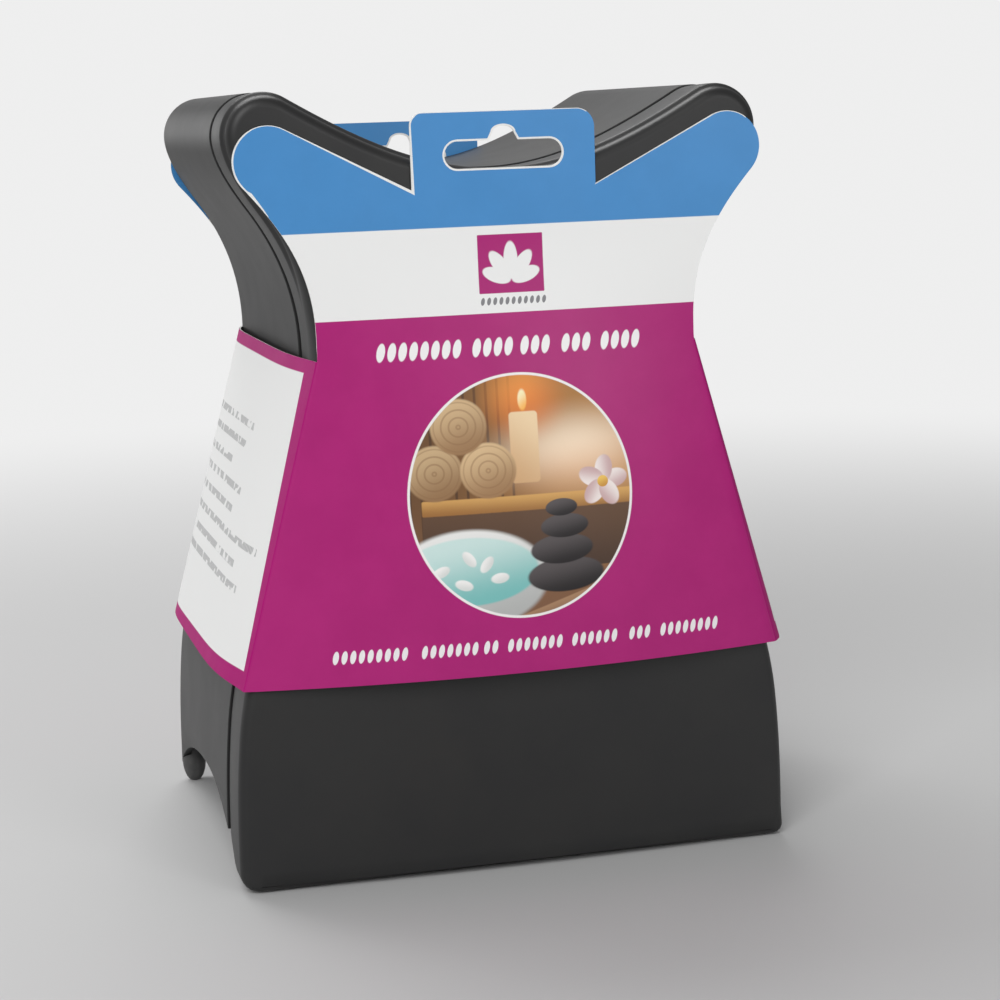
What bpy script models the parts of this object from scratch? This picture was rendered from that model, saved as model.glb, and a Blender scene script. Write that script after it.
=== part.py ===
"""Pedicure footrest: an hourglass stand in two moulded shells, screwed together, on four feet,
with a printed folding board sleeve round it.

+Z is up, the front faces -Y, and the origin is under the middle of the object, on the floor.
"""

import math

import bmesh
import bpy

# Moulded outline, seen from the front (half widths, heights from the floor, drops from the top)
BODY_HEIGHT = 0.2465
BODY_DEPTH = 0.140
BODY_LEFT_SHIFT = 0.0003
BASE_HALF_WIDTH = 0.0906
BASE_CORNER_RADIUS = 0.006
SKIRT_TAPER = 0.0018
SKIRT_HEIGHT = 0.0495
SKIRT_LEAN = math.radians(5.8)
WAIST_HALF_WIDTH = 0.0610
WAIST_DROP = 0.0800
SHOULDER_FLARE = 0.0144
SHOULDER_DROP = 0.0355
SHOULDER_LEAN = math.radians(35.4)
HORN_RADIUS = 0.0133
HORN_FLARE = 0.0116
SADDLE_DROP = 0.0242
SADDLE_LEAN = math.radians(30.5)

# Handle lengths of the outline's curves, as shares of the distance that each curve spans
SKIRT_SHARES = (0.35, 0.35)
FLANK_SHARES = (0.275, 0.333)
FLARE_SHARES = (0.386, 0.32)
NECK_SHARES = (0.30, 0.30)
SADDLE_SHARES = (0.40, 0.316)

# Walls and edges
WALL = 0.0025
COVER_DEPTH = 0.0250
COVER_CROWN = 0.0014
COVER_LIP_REACH = 0.003
COVER_LIP_WALL = 0.0012
COVER_LIP_ROOT = 0.005
COVER_SOLE = 0.0085
BASE_EDGE = 0.0032
WAIST_EDGE_INSET = 0.005
WAIST_EDGE_DEPTH = 0.0085
HORN_EDGE = 0.0048
GROOVE_DEPTH = 0.0009
GROOVE_WIDTH = 0.0024
GROOVE_START_RISE = 0.0115
GROOVE_FULL_RISE = 0.0385

# Arches under the sides and the rear wall
ARCH_HEIGHT = 0.0230
ARCH_CREST_FROM_FRONT = 0.065
ARCH_FRONT_LEAN = math.radians(52)
ARCH_REAR_LEAN = math.radians(31)
ARCH_SHARES = (0.26, 0.4)
HEEL_HEIGHT = 0.0045
HEEL_WIDTH = 0.0121
REAR_ARCH_HEIGHT = 0.017
REAR_ARCH_CORNER = 0.010

# Screws and their posts
POST_BASE_RADIUS = 0.0050
POST_TIP_RADIUS = 0.0041
HORN_POST_RISE = 0.0005
FLANK_POST_INSET = 0.015
FLANK_POST_DROP = 0.0385
BASE_POST_INSET = 0.0166
BASE_POST_HEIGHT = 0.036
PAD_RADIUS = 0.0060
PAD_DEPTH = 0.0030
COUNTERBORE_RADIUS = 0.0044
COUNTERBORE_DEPTH = 0.0028
SCREW_HEAD_RADIUS = 0.0034
SCREW_HEAD_HEIGHT = 0.0020
SCREW_RADIUS = 0.0015
SCREW_LENGTH = 0.015
SCREW_TIP_LENGTH = 0.002
RECESS_LENGTH = 0.0036
RECESS_WIDTH = 0.0008
RECESS_DEPTH = 0.0010
PILOT_SPARE_DEPTH = 0.0015

# Ribs under the saddle
RIB_THICKNESS = 0.0020
RIB_DROP = 0.012
RIB_HALF_SPREAD = 0.026

# Feet
FOOT_HALF_WIDTH = 0.0041
FOOT_ROUNDING = 0.0031
FOOT_ROUNDING_HEIGHT = 0.0038
FOOT_CORNER_SHARE = 0.6
FOOT_HEIGHT = 0.0125
FOOT_WALL_GAP = 0.0013
PAD_LENGTH = 0.024
PAD_WIDTH = 0.0036
PAD_THICKNESS = 0.0015
PAD_INSET = 0.0266
POCKET_DEPTH = 0.0012
SOLE_LIFT = 0.0006

# Board sleeve, measured from the body's outline where the two follow each other
BOARD = 0.0006
SLEEVE_BOTTOM = 0.0648
SLEEVE_BOTTOM_INSET = 0.0024
SLEEVE_TOP_DROP = 0.0015
SLEEVE_TOP_INSET = 0.0002
CARD_WAIST_INSET = 0.0005
CARD_WAIST_RISE = 0.0055
CARD_HORN_DROP = 0.0079
CARD_HORN_INSET = 0.0024
CARD_HORN_START = math.radians(-42)
CARD_SLOPE = math.radians(27.5)
CARD_SHARES = (0.36, 0.40)
NOTCH_HALF_WIDTH = 0.0292
NOTCH_DROP = 0.0070
TAB_RISE = 0.0162
TAB_CORNER_RADIUS = 0.0045
REAR_HEAD_DROP = 0.0027
SLOT_HALF_LENGTH = 0.01905
SLOT_HEIGHT = 0.0085
SLOT_DROP = 0.0130
SLOT_HUMP_RADIUS = 0.0046
PANEL_BULGE = 0.0096
BULGE_TOP_RISE = 0.0335
SIDE_BOW = 0.0051
SIDE_BOW_GAIN = 0.0006
SIDE_BOW_FULLNESS = 5.5
SIDE_BOW_LEAN = 1.33

# Clearances
GAP = 0.0003
OVERRUN = 0.010

# How finely curves are cut
CORNER_STEPS = 4
SKIRT_STEPS = 3
FLANK_STEPS = 9
FLARE_STEPS = 6
NECK_STEPS = 5
HORN_STEPS = 10
SADDLE_STEPS = 10
EDGE_STEPS = 4
ARCH_STEPS = 9
ROUND_STEPS = 20
CARD_STEPS = 8
SHEET_COLUMNS = 8
SHEET_ROWS = 6
SIDE_COLUMNS = 8

# Places worked out from the sizes
FRONT = -BODY_DEPTH / 2
REAR = BODY_DEPTH / 2
SEAM = FRONT + COVER_DEPTH
BODY_X = -BODY_LEFT_SHIFT
SKIRT_HALF_WIDTH = BASE_HALF_WIDTH - SKIRT_TAPER
WAIST_HEIGHT = BODY_HEIGHT - WAIST_DROP
SHOULDER_HALF_WIDTH = WAIST_HALF_WIDTH + SHOULDER_FLARE
SHOULDER_HEIGHT = BODY_HEIGHT - SHOULDER_DROP
HORN_HALF_SPREAD = WAIST_HALF_WIDTH + HORN_FLARE
HORN_HEIGHT = BODY_HEIGHT - HORN_RADIUS
SADDLE_HEIGHT = BODY_HEIGHT - SADDLE_DROP
SLEEVE_FRONT = FRONT - GAP - BOARD
SLEEVE_BOTTOM_HALF_WIDTH = BASE_HALF_WIDTH - SLEEVE_BOTTOM_INSET
SLEEVE_TOP = WAIST_HEIGHT - SLEEVE_TOP_DROP
SLEEVE_TOP_HALF_WIDTH = WAIST_HALF_WIDTH - SLEEVE_TOP_INSET
BULGE_TOP = WAIST_HEIGHT + BULGE_TOP_RISE
TAB_HEIGHT = SADDLE_HEIGHT + TAB_RISE
QUARTER = math.pi / 2


def clear_scene():
    for old in list(bpy.data.objects):
        bpy.data.objects.remove(old, do_unlink=True)


def make_material(name, colour, roughness, metallic=0.0):
    material = bpy.data.materials.new(name)
    material.use_nodes = True
    shader = material.node_tree.nodes["Principled BSDF"]
    shader.inputs["Base Color"].default_value = (*colour, 1)
    shader.inputs["Roughness"].default_value = roughness
    shader.inputs["Metallic"].default_value = metallic
    material.diffuse_color = (*colour, 1)
    return material


def smooth_share(value, start, full):
    """0 before start, 1 past full and an S-curve between them."""
    share = min(max((value - start) / (full - start), 0), 1)
    return share * share * (3 - 2 * share)


def on_circle(centre, radius, turn):
    return (centre[0] + radius * math.cos(turn), centre[1] + radius * math.sin(turn))


def curve(start, start_way, end, end_way, shares, steps):
    """Points along a cubic curve, without the last. A way is a direction of travel in radians."""
    span = math.dist(start, end)
    points = (
        start,
        on_circle(start, span * shares[0], start_way),
        on_circle(end, -span * shares[1], end_way),
        end,
    )
    result = []
    for step in range(steps):
        t = step / steps
        weights = ((1 - t) ** 3, 3 * t * (1 - t) ** 2, 3 * t * t * (1 - t), t ** 3)
        result.append(tuple(sum(w * p[i] for w, p in zip(weights, points)) for i in (0, 1)))
    return result


def arc(centre, radius, start, end, steps):
    """Points along an arc, without the last."""
    return [on_circle(centre, radius, start + (end - start) * step / steps) for step in range(steps)]


def circle(x, z, radius, y):
    """A loop of points round a line along Y."""
    return [(px, y, pz) for px, pz in arc((x, z), radius, 0, 4 * QUARTER, ROUND_STEPS)]


def with_mirror(half):
    """Closes a half outline that runs up its right side, by its mirror image down the left."""
    edge_points = [p for p in half if p[0] > GAP / 2]
    middle = [p for p in half if p[0] <= GAP / 2]
    return edge_points + middle + [(-x, z) for x, z in reversed(edge_points)]


def body_outline():
    """The moulded outline as (x, z), anticlockwise from the right lower corner."""
    corner = (BASE_HALF_WIDTH - BASE_CORNER_RADIUS, SOLE_LIFT + BASE_CORNER_RADIUS)
    base = (BASE_HALF_WIDTH, corner[1])
    skirt = (SKIRT_HALF_WIDTH, SKIRT_HEIGHT)
    waist = (WAIST_HALF_WIDTH, WAIST_HEIGHT)
    shoulder = (SHOULDER_HALF_WIDTH, SHOULDER_HEIGHT)
    horn = (HORN_HALF_SPREAD, HORN_HEIGHT)
    horn_end = QUARTER + SADDLE_LEAN
    horn_side = (HORN_HALF_SPREAD + HORN_RADIUS, HORN_HEIGHT)
    horn_foot = on_circle(horn, HORN_RADIUS, horn_end)
    skirt_way = QUARTER + SKIRT_LEAN
    shoulder_way = QUARTER - SHOULDER_LEAN
    half = arc(corner, BASE_CORNER_RADIUS, -QUARTER, 0, CORNER_STEPS)
    half += curve(base, QUARTER, skirt, skirt_way, SKIRT_SHARES, SKIRT_STEPS)
    half += curve(skirt, skirt_way, waist, QUARTER, FLANK_SHARES, FLANK_STEPS)
    half += curve(waist, QUARTER, shoulder, shoulder_way, FLARE_SHARES, FLARE_STEPS)
    half += curve(shoulder, shoulder_way, horn_side, QUARTER, NECK_SHARES, NECK_STEPS)
    half += arc(horn, HORN_RADIUS, 0, horn_end, HORN_STEPS)
    half += curve(horn_foot, math.pi + SADDLE_LEAN, (0, SADDLE_HEIGHT), math.pi, SADDLE_SHARES, SADDLE_STEPS)
    half.append((0, SADDLE_HEIGHT))
    return with_mirror(half)


def inset_ways(outline):
    """For each point of an anticlockwise outline, the step that moves it inwards by one unit."""
    ways = []
    for i, (x, z) in enumerate(outline):
        before, after = outline[i - 1], outline[(i + 1) % len(outline)]
        normals = []
        for (x0, z0), (x1, z1) in ((before, (x, z)), ((x, z), after)):
            length = math.dist((x0, z0), (x1, z1))
            normals.append(((z0 - z1) / length, (x1 - x0) / length))
        (ax, az), (bx, bz) = normals
        scale = 1 + ax * bx + az * bz
        ways.append(((ax + bx) / scale, (az + bz) / scale))
    return ways


def ring(outline, ways, inset, y):
    """One loop of points. inset and y are numbers, or functions of a point's height."""
    points = []
    for (x, z), (wx, wz) in zip(outline, ways):
        d = inset(z) if callable(inset) else inset
        depth = y(z) if callable(y) else y
        points.append((x + wx * d, depth, z + wz * d))
    return points


def new_object(name, mesh_maker, material, smooth_angle=35):
    """Makes the object whose mesh mesh_maker fills in, with its faces turned out."""
    mesh = bpy.data.meshes.new(name)
    bm = bmesh.new()
    mesh_maker(bm)
    bmesh.ops.recalc_face_normals(bm, faces=bm.faces)
    bm.to_mesh(mesh)
    bm.free()
    mesh.shade_smooth()
    mesh.set_sharp_from_angle(angle=math.radians(smooth_angle))
    result = bpy.data.objects.new(name, mesh)
    bpy.context.scene.collection.objects.link(result)
    if material:
        mesh.materials.append(material)
    return result


def loft(rings, cut_caps=None):
    """A mesh maker that joins rings in turn and caps both ends. cut_caps(bm, face) may divide a cap."""

    def make(bm):
        loops = [[bm.verts.new(p) for p in points] for points in rings]
        count = len(loops[0])
        for low, high in zip(loops, loops[1:]):
            for i in range(count):
                j = (i + 1) % count
                bm.faces.new((low[i], low[j], high[j], high[i]))
        caps = [bm.faces.new(list(reversed(loops[0]))), bm.faces.new(loops[-1])]
        if cut_caps:
            for cap in caps:
                cut_caps(bm, cap)

    return make


def prism(outline, place, ends):
    """A mesh maker: the outline swept between two ends. place(u, v, end) gives a point."""
    return loft([[place(u, v, end) for u, v in outline] for end in ends])


def across_y(x, z, y):
    return (x, y, z)


def across_x(y, z, x):
    return (x, y, z)


def cut_by_planes(bm, faces, planes):
    """Divides faces along planes, each given as a point and a normal."""
    parts = list(faces)
    for point, normal in planes:
        geometry = set(parts)
        for face in parts:
            geometry.update(face.edges)
            geometry.update(face.verts)
        result = bmesh.ops.bisect_plane(bm, geom=list(geometry), plane_co=point, plane_no=normal)
        parts = [item for item in result["geom"] if isinstance(item, bmesh.types.BMFace)]


def even_places(low, high, count):
    """The places that cut a stretch into count equal parts."""
    return [low + (high - low) * i / count for i in range(1, count)]


def grid_planes(half_width, low, high):
    """Upright and level planes that cut a front or rear sheet into cells."""
    uprights = [((x, 0, 0), (1, 0, 0)) for x in even_places(-half_width, half_width, SHEET_COLUMNS)]
    levels = [((0, 0, z), (0, 0, 1)) for z in even_places(low, high, SHEET_ROWS)]
    return uprights + levels


def apply_boolean(target, cutter, operation):
    """Adds a Boolean by a hidden helper, which stays in the scene as a wire."""
    modifier = target.modifiers.new(cutter.name, "BOOLEAN")
    modifier.operation = operation
    modifier.solver = "EXACT"
    modifier.object = cutter
    cutter.hide_render = True
    cutter.display_type = "WIRE"


def cylinder(name, x, z, radii, ends):
    """A helper along Y, with a radius at each end."""
    return new_object(name, loft([circle(x, z, radius, y) for radius, y in zip(radii, ends)]), None)


def box(name, low, high):
    outline = [(low[0], low[2]), (high[0], low[2]), (high[0], high[2]), (low[0], high[2])]
    return new_object(name, prism(outline, across_y, (low[1], high[1])), None)


def post_places():
    """Where the six posts stand, as (x, z)."""
    heights_and_spreads = (
        (HORN_HALF_SPREAD, HORN_HEIGHT + HORN_POST_RISE),
        (WAIST_HALF_WIDTH - FLANK_POST_INSET, WAIST_HEIGHT - FLANK_POST_DROP),
        (BASE_HALF_WIDTH - BASE_POST_INSET, BASE_POST_HEIGHT),
    )
    return [(BODY_X + side * spread, z) for spread, z in heights_and_spreads for side in (-1, 1)]


def arch_outline():
    """The side arch as (y, z): it rises from the cover's sole to a crest and falls to the heel."""
    start = (FRONT + COVER_SOLE, 0)
    crest = (FRONT + ARCH_CREST_FROM_FRONT, ARCH_HEIGHT)
    heel = (REAR, HEEL_HEIGHT)
    points = curve(start, ARCH_FRONT_LEAN, crest, 0, ARCH_SHARES, ARCH_STEPS)
    points += curve(crest, 0, heel, -ARCH_REAR_LEAN, ARCH_SHARES[::-1], ARCH_STEPS)
    points += [heel, (REAR + OVERRUN, HEEL_HEIGHT), (REAR + OVERRUN, -OVERRUN)]
    return points + [(FRONT + COVER_SOLE, -OVERRUN)]


def arch_cutter(name):
    reach = BASE_HALF_WIDTH + OVERRUN
    return new_object(name, prism(arch_outline(), across_x, (-reach, reach)), None)


def rear_arch_cutter():
    """Opens the rear wall's lower edge between the heels."""
    half_width = BASE_HALF_WIDTH - HEEL_WIDTH
    corner = (half_width - REAR_ARCH_CORNER, REAR_ARCH_HEIGHT - REAR_ARCH_CORNER)
    half = [(half_width, -OVERRUN)]
    half += arc(corner, REAR_ARCH_CORNER, 0, QUARTER, CORNER_STEPS)
    half.append((corner[0], REAR_ARCH_HEIGHT))
    outline = [(BODY_X + x, z) for x, z in half] + [(BODY_X - x, z) for x, z in reversed(half)]
    inside = REAR - WALL - OVERRUN
    return new_object("rear_arch_cut", prism(outline, across_y, (inside, REAR + OVERRUN)), None)


def build_body_shell(material):
    """Saddle, side walls and rear wall in one moulding, open to the front and below."""
    outline = [(BODY_X + x, z) for x, z in body_outline()]
    ways = inset_ways(outline)
    rings = []
    for step in range(EDGE_STEPS + 1):
        turn = QUARTER * step / EDGE_STEPS
        rings.append(ring(
            outline,
            ways,
            lambda z, turn=turn: edge_inset(z) * (1 - math.sin(turn)),
            lambda z, turn=turn: REAR - edge_depth(z) * (1 - math.cos(turn)),
        ))
    rings.append(ring(outline, ways, 0, SEAM + GAP / 2))
    rings.append(ring(outline, ways, WALL, SEAM + GAP / 2))
    rings.append(ring(outline, ways, WALL, lambda z: REAR - edge_depth(z) - WALL / 2))
    rings.append(ring(outline, ways, lambda z: edge_inset(z) + WALL / 2, REAR - WALL))
    shell = new_object("body_shell", loft(rings), material)
    for i, (x, z) in enumerate(post_places(), 1):
        pad = cylinder(f"screw_pad_{i}", x, z, (PAD_RADIUS,) * 2, (REAR - WALL - PAD_DEPTH, REAR - WALL / 2))
        apply_boolean(shell, pad, "UNION")
    for i, side in enumerate((-1, 0, 1), 1):
        x = BODY_X + side * RIB_HALF_SPREAD
        under = saddle_height_at(side * RIB_HALF_SPREAD) - WALL
        low = (x - RIB_THICKNESS / 2, SEAM + COVER_LIP_REACH + COVER_LIP_ROOT, under - RIB_DROP)
        high = (x + RIB_THICKNESS / 2, REAR - WALL / 2, under + WALL / 2)
        apply_boolean(shell, box(f"saddle_rib_{i}", low, high), "UNION")
    bores = (
        ("head_recess", COUNTERBORE_RADIUS, REAR - COUNTERBORE_DEPTH),
        ("screw_hole", SCREW_RADIUS + GAP, REAR - WALL - PAD_DEPTH - OVERRUN),
    )
    for i, (x, z) in enumerate(post_places(), 1):
        for name, radius, floor in bores:
            bore = cylinder(f"{name}_{i}", x, z, (radius,) * 2, (floor, REAR + OVERRUN))
            apply_boolean(shell, bore, "DIFFERENCE")
    apply_boolean(shell, arch_cutter("body_arch_cut"), "DIFFERENCE")
    apply_boolean(shell, rear_arch_cutter(), "DIFFERENCE")
    return shell


def saddle_height_at(x):
    """Height of the saddle's top at a distance from the middle."""
    upper = [p for p in body_outline() if p[1] > SADDLE_HEIGHT - GAP and abs(p[0]) < HORN_HALF_SPREAD]
    upper.sort()
    for (x0, z0), (x1, z1) in zip(upper, upper[1:]):
        if x0 <= x <= x1:
            return z0 + (z1 - z0) * (x - x0) / (x1 - x0)
    return SADDLE_HEIGHT


def edge_inset(z):
    """How far the cover's front edge is drawn in: crisp at the base, soft at the waist."""
    soft = smooth_share(z, SKIRT_HEIGHT, WAIST_HEIGHT)
    horn = smooth_share(z, WAIST_HEIGHT, SHOULDER_HEIGHT)
    return BASE_EDGE + (WAIST_EDGE_INSET - BASE_EDGE) * soft + (HORN_EDGE - WAIST_EDGE_INSET) * horn


def edge_depth(z):
    """How far back the cover's front edge starts to turn."""
    soft = smooth_share(z, SKIRT_HEIGHT, WAIST_HEIGHT)
    horn = smooth_share(z, WAIST_HEIGHT, SHOULDER_HEIGHT)
    return BASE_EDGE + (WAIST_EDGE_DEPTH - BASE_EDGE) * soft + (HORN_EDGE - WAIST_EDGE_DEPTH) * horn


def groove_depth(z):
    return GROOVE_DEPTH * smooth_share(z, WAIST_HEIGHT + GROOVE_START_RISE, WAIST_HEIGHT + GROOVE_FULL_RISE)


def half_width_at(z):
    """The moulded outline's half width at a height below the horns."""
    right = [p for p in body_outline() if p[0] > SHOULDER_HALF_WIDTH / 2 and p[1] < HORN_HEIGHT]
    for (x0, z0), (x1, z1) in zip(right, right[1:]):
        if z0 <= z <= z1:
            return x0 + (x1 - x0) * (z - z0) / (z1 - z0)
    return BASE_HALF_WIDTH


def crown_cover(bm):
    """Swells the cover's front below the waist, fading out towards the parting line."""
    for vert in bm.verts:
        x, y, z = vert.co
        across = 1 - min(abs(x - BODY_X) / half_width_at(z), 1) ** 2
        fade = 1 - smooth_share(z, (SKIRT_HEIGHT + WAIST_HEIGHT) / 2, WAIST_HEIGHT)
        back = min(max((SEAM - y) / (SEAM - FRONT - WALL), 0), 1)
        vert.co.y = y - COVER_CROWN * across * fade * back


def build_front_cover(material):
    """A shallow tray: front face, rolled edge, groove, strip and an inner lip behind the seam."""
    outline = [(BODY_X + x, z) for x, z in body_outline()]
    ways = inset_ways(outline)
    rings = []
    for step in range(EDGE_STEPS + 1):
        turn = QUARTER * step / EDGE_STEPS
        rings.append(ring(
            outline,
            ways,
            lambda z, turn=turn: edge_inset(z) * (1 - math.sin(turn)),
            lambda z, turn=turn: FRONT + edge_depth(z) * (1 - math.cos(turn)),
        ))
    rings.append(ring(outline, ways, groove_depth, lambda z: FRONT + edge_depth(z) + GROOVE_WIDTH / 2))
    rings.append(ring(outline, ways, 0, lambda z: FRONT + edge_depth(z) + GROOVE_WIDTH))
    lip_out = WALL + GAP
    lip_in = lip_out + COVER_LIP_WALL
    rings.append(ring(outline, ways, 0, SEAM - GAP / 2))
    rings.append(ring(outline, ways, lip_out, SEAM - GAP / 2))
    rings.append(ring(outline, ways, lip_out, SEAM + COVER_LIP_REACH))
    rings.append(ring(outline, ways, lip_in, SEAM + COVER_LIP_REACH))
    rings.append(ring(outline, ways, lip_in, SEAM - COVER_LIP_ROOT))
    rings.append(ring(outline, ways, WALL, SEAM - COVER_LIP_ROOT - COVER_LIP_WALL))
    rings.append(ring(outline, ways, WALL, lambda z: FRONT + edge_depth(z) + WALL / 2))
    rings.append(ring(outline, ways, lambda z: edge_inset(z) + WALL / 2, FRONT + WALL))
    planes = grid_planes(BASE_HALF_WIDTH, SOLE_LIFT, WAIST_HEIGHT)
    tray = loft(rings, lambda bm, cap: cut_by_planes(bm, [cap], planes))

    def crowned_tray(bm):
        tray(bm)
        crown_cover(bm)

    cover = new_object("front_cover", crowned_tray, material)
    tip = REAR - WALL - PAD_DEPTH - GAP
    for i, (x, z) in enumerate(post_places(), 1):
        radii = (POST_BASE_RADIUS, POST_TIP_RADIUS)
        apply_boolean(cover, cylinder(f"post_{i}", x, z, radii, (FRONT + WALL / 2, tip)), "UNION")
    for i, (x, z) in enumerate(post_places(), 1):
        floor = screw_end() - PILOT_SPARE_DEPTH
        pilot = cylinder(f"pilot_{i}", x, z, (SCREW_RADIUS + GAP,) * 2, (floor, tip + OVERRUN))
        apply_boolean(cover, pilot, "DIFFERENCE")
    apply_boolean(cover, arch_cutter("cover_arch_cut"), "DIFFERENCE")
    for i, side in enumerate((-1, 1), 1):
        low, high = pad_box(side)
        low = (low[0] - GAP, low[1] - GAP, -OVERRUN)
        high = (high[0] + GAP, high[1] + GAP, SOLE_LIFT + POCKET_DEPTH)
        apply_boolean(cover, box(f"pad_pocket_{i}", low, high), "DIFFERENCE")
    return cover


def screw_end():
    """Where the screws' points lie."""
    return REAR - COUNTERBORE_DEPTH + GAP - SCREW_LENGTH


def build_screw(index, x, z, material):
    """A pan-head screw with a cross recess, its head to the rear."""
    seat = REAR - COUNTERBORE_DEPTH + GAP
    top = seat + SCREW_HEAD_HEIGHT
    dome_share = 0.55
    radii_and_places = (
        (SCREW_RADIUS / 4, screw_end()),
        (SCREW_RADIUS, screw_end() + SCREW_TIP_LENGTH),
        (SCREW_RADIUS, seat),
        (SCREW_HEAD_RADIUS, seat),
        (SCREW_HEAD_RADIUS, seat + SCREW_HEAD_HEIGHT * dome_share),
        (SCREW_HEAD_RADIUS * dome_share, top),
    )
    rings = [circle(x, z, radius, y) for radius, y in radii_and_places]
    screw = new_object(f"cover_screw_{index}", loft(rings), material)
    slots = (("level", RECESS_LENGTH, RECESS_WIDTH), ("upright", RECESS_WIDTH, RECESS_LENGTH))
    for name, wide, tall in slots:
        low = (x - wide / 2, top - RECESS_DEPTH, z - tall / 2)
        high = (x + wide / 2, top + OVERRUN, z + tall / 2)
        apply_boolean(screw, box(f"recess_{name}_{index}", low, high), "DIFFERENCE")
    return screw


def foot_wall_cutters(side):
    """Room for the side wall and the rear wall above a rear foot's sole."""
    low = HEEL_HEIGHT - GAP
    high = ARCH_HEIGHT + OVERRUN
    edge = [(y, z - GAP / math.cos(ARCH_REAR_LEAN)) for y, z in arch_outline()[ARCH_STEPS:2 * ARCH_STEPS]]
    above = edge + [(REAR, low), (REAR + OVERRUN, low), (REAR + OVERRUN, high), (edge[0][0], high)]
    wall_face = BASE_HALF_WIDTH - WALL - FOOT_WALL_GAP
    reach = sorted((BODY_X + side * wall_face, BODY_X + side * (BASE_HALF_WIDTH + OVERRUN)))
    side_cutter = new_object("side_wall_room", prism(above, across_x, reach), None)
    rear_low = (BODY_X - BASE_HALF_WIDTH - OVERRUN, REAR - WALL - FOOT_WALL_GAP, low)
    rear_high = (BODY_X + BASE_HALF_WIDTH + OVERRUN, REAR + OVERRUN, high)
    return [side_cutter, box("rear_wall_room", rear_low, rear_high)]


def build_rear_foot(name, side, material):
    """A round-ended rubber foot under a rear corner; the walls end on it, its core goes up inside them."""
    x = BODY_X + side * (BASE_HALF_WIDTH - FOOT_HALF_WIDTH)
    y = REAR - FOOT_HALF_WIDTH - GAP / 2
    turns = [QUARTER * step / EDGE_STEPS for step in range(EDGE_STEPS + 1)]
    levels = [
        (FOOT_HALF_WIDTH - FOOT_ROUNDING * (1 - math.sin(turn)), FOOT_ROUNDING_HEIGHT * (1 - math.cos(turn)))
        for turn in turns
    ]
    levels.append((FOOT_HALF_WIDTH, FOOT_HEIGHT))
    rings = []
    for half, z in levels:
        radius = half * FOOT_CORNER_SHARE
        loop = []
        for quadrant, (sx, sy) in enumerate(((1, 1), (-1, 1), (-1, -1), (1, -1))):
            centre = (x + sx * (half - radius), y + sy * (half - radius))
            turn = quadrant * QUARTER
            loop += arc(centre, radius, turn, turn + QUARTER, CORNER_STEPS)
            loop.append(on_circle(centre, radius, turn + QUARTER))
        rings.append([(px, py, z) for px, py in loop])
    foot = new_object(name, loft(rings), material)
    for cutter in foot_wall_cutters(side):
        apply_boolean(foot, cutter, "DIFFERENCE")
    return foot


def pad_box(side):
    """Lowest and highest corners of a front pad."""
    x = BODY_X + side * (BASE_HALF_WIDTH - PAD_INSET)
    y = FRONT + BASE_EDGE + GAP
    low = (x - PAD_LENGTH / 2, y, 0)
    high = (x + PAD_LENGTH / 2, y + PAD_WIDTH, PAD_THICKNESS)
    return low, high


def build_front_pad(name, side, material):
    """A flat rubber strip in the pocket under the cover's sole."""
    low, high = pad_box(side)
    radius = PAD_WIDTH / 2
    outline = []
    for end, turn in ((1, -QUARTER), (-1, QUARTER)):
        middle = (low[0] + high[0]) / 2
        centre = (middle + end * (PAD_LENGTH / 2 - radius), low[1] + radius)
        outline += arc(centre, radius, turn, turn + math.pi, CORNER_STEPS * 2)
        outline.append(on_circle(centre, radius, turn + math.pi))
    maker = loft([[(x, y, z) for x, y in outline] for z in (low[2], high[2])])
    return new_object(name, maker, material)


def card_outline(head_drop):
    """The front or rear panel as (x, z), anticlockwise from the right end of its lower edge."""
    horn = (HORN_HALF_SPREAD, HORN_HEIGHT - CARD_HORN_DROP - head_drop)
    tab_height = TAB_HEIGHT - head_drop
    radius = HORN_RADIUS - CARD_HORN_INSET
    horn_end = QUARTER + CARD_SLOPE
    waist = (WAIST_HALF_WIDTH - CARD_WAIST_INSET, WAIST_HEIGHT + CARD_WAIST_RISE)
    tab_corner = (NOTCH_HALF_WIDTH - TAB_CORNER_RADIUS, tab_height - TAB_CORNER_RADIUS)
    half = [(SLEEVE_BOTTOM_HALF_WIDTH, SLEEVE_BOTTOM), (SLEEVE_TOP_HALF_WIDTH, SLEEVE_TOP)]
    horn_low = on_circle(horn, radius, CARD_HORN_START)
    half += curve(waist, QUARTER, horn_low, CARD_HORN_START + QUARTER, CARD_SHARES, CARD_STEPS)
    half += arc(horn, radius, CARD_HORN_START, horn_end, HORN_STEPS)
    half.append(on_circle(horn, radius, horn_end))
    half.append((NOTCH_HALF_WIDTH, SADDLE_HEIGHT - NOTCH_DROP - head_drop))
    half += arc(tab_corner, TAB_CORNER_RADIUS, 0, QUARTER, CORNER_STEPS)
    half.append((tab_corner[0], tab_height))
    return with_mirror(half)


def fold_half_width(z):
    """The sleeve's half width at a height, along its straight folds and up to its waist."""
    share = (z - SLEEVE_BOTTOM) / (SLEEVE_TOP - SLEEVE_BOTTOM)
    width = SLEEVE_BOTTOM_HALF_WIDTH + (SLEEVE_TOP_HALF_WIDTH - SLEEVE_BOTTOM_HALF_WIDTH) * share
    return max(width, WAIST_HALF_WIDTH - CARD_WAIST_INSET)


def panel_bulge(x, z):
    """How far a point of the front or rear panel stands out from its folds."""
    height_share = min(max((BULGE_TOP - z) / (BULGE_TOP - SLEEVE_BOTTOM), 0), 1)
    across = 1 - min(abs(x) / fold_half_width(z), 1) ** 2
    return PANEL_BULGE * math.sin(QUARTER * height_share) ** 1.5 * across


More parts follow.
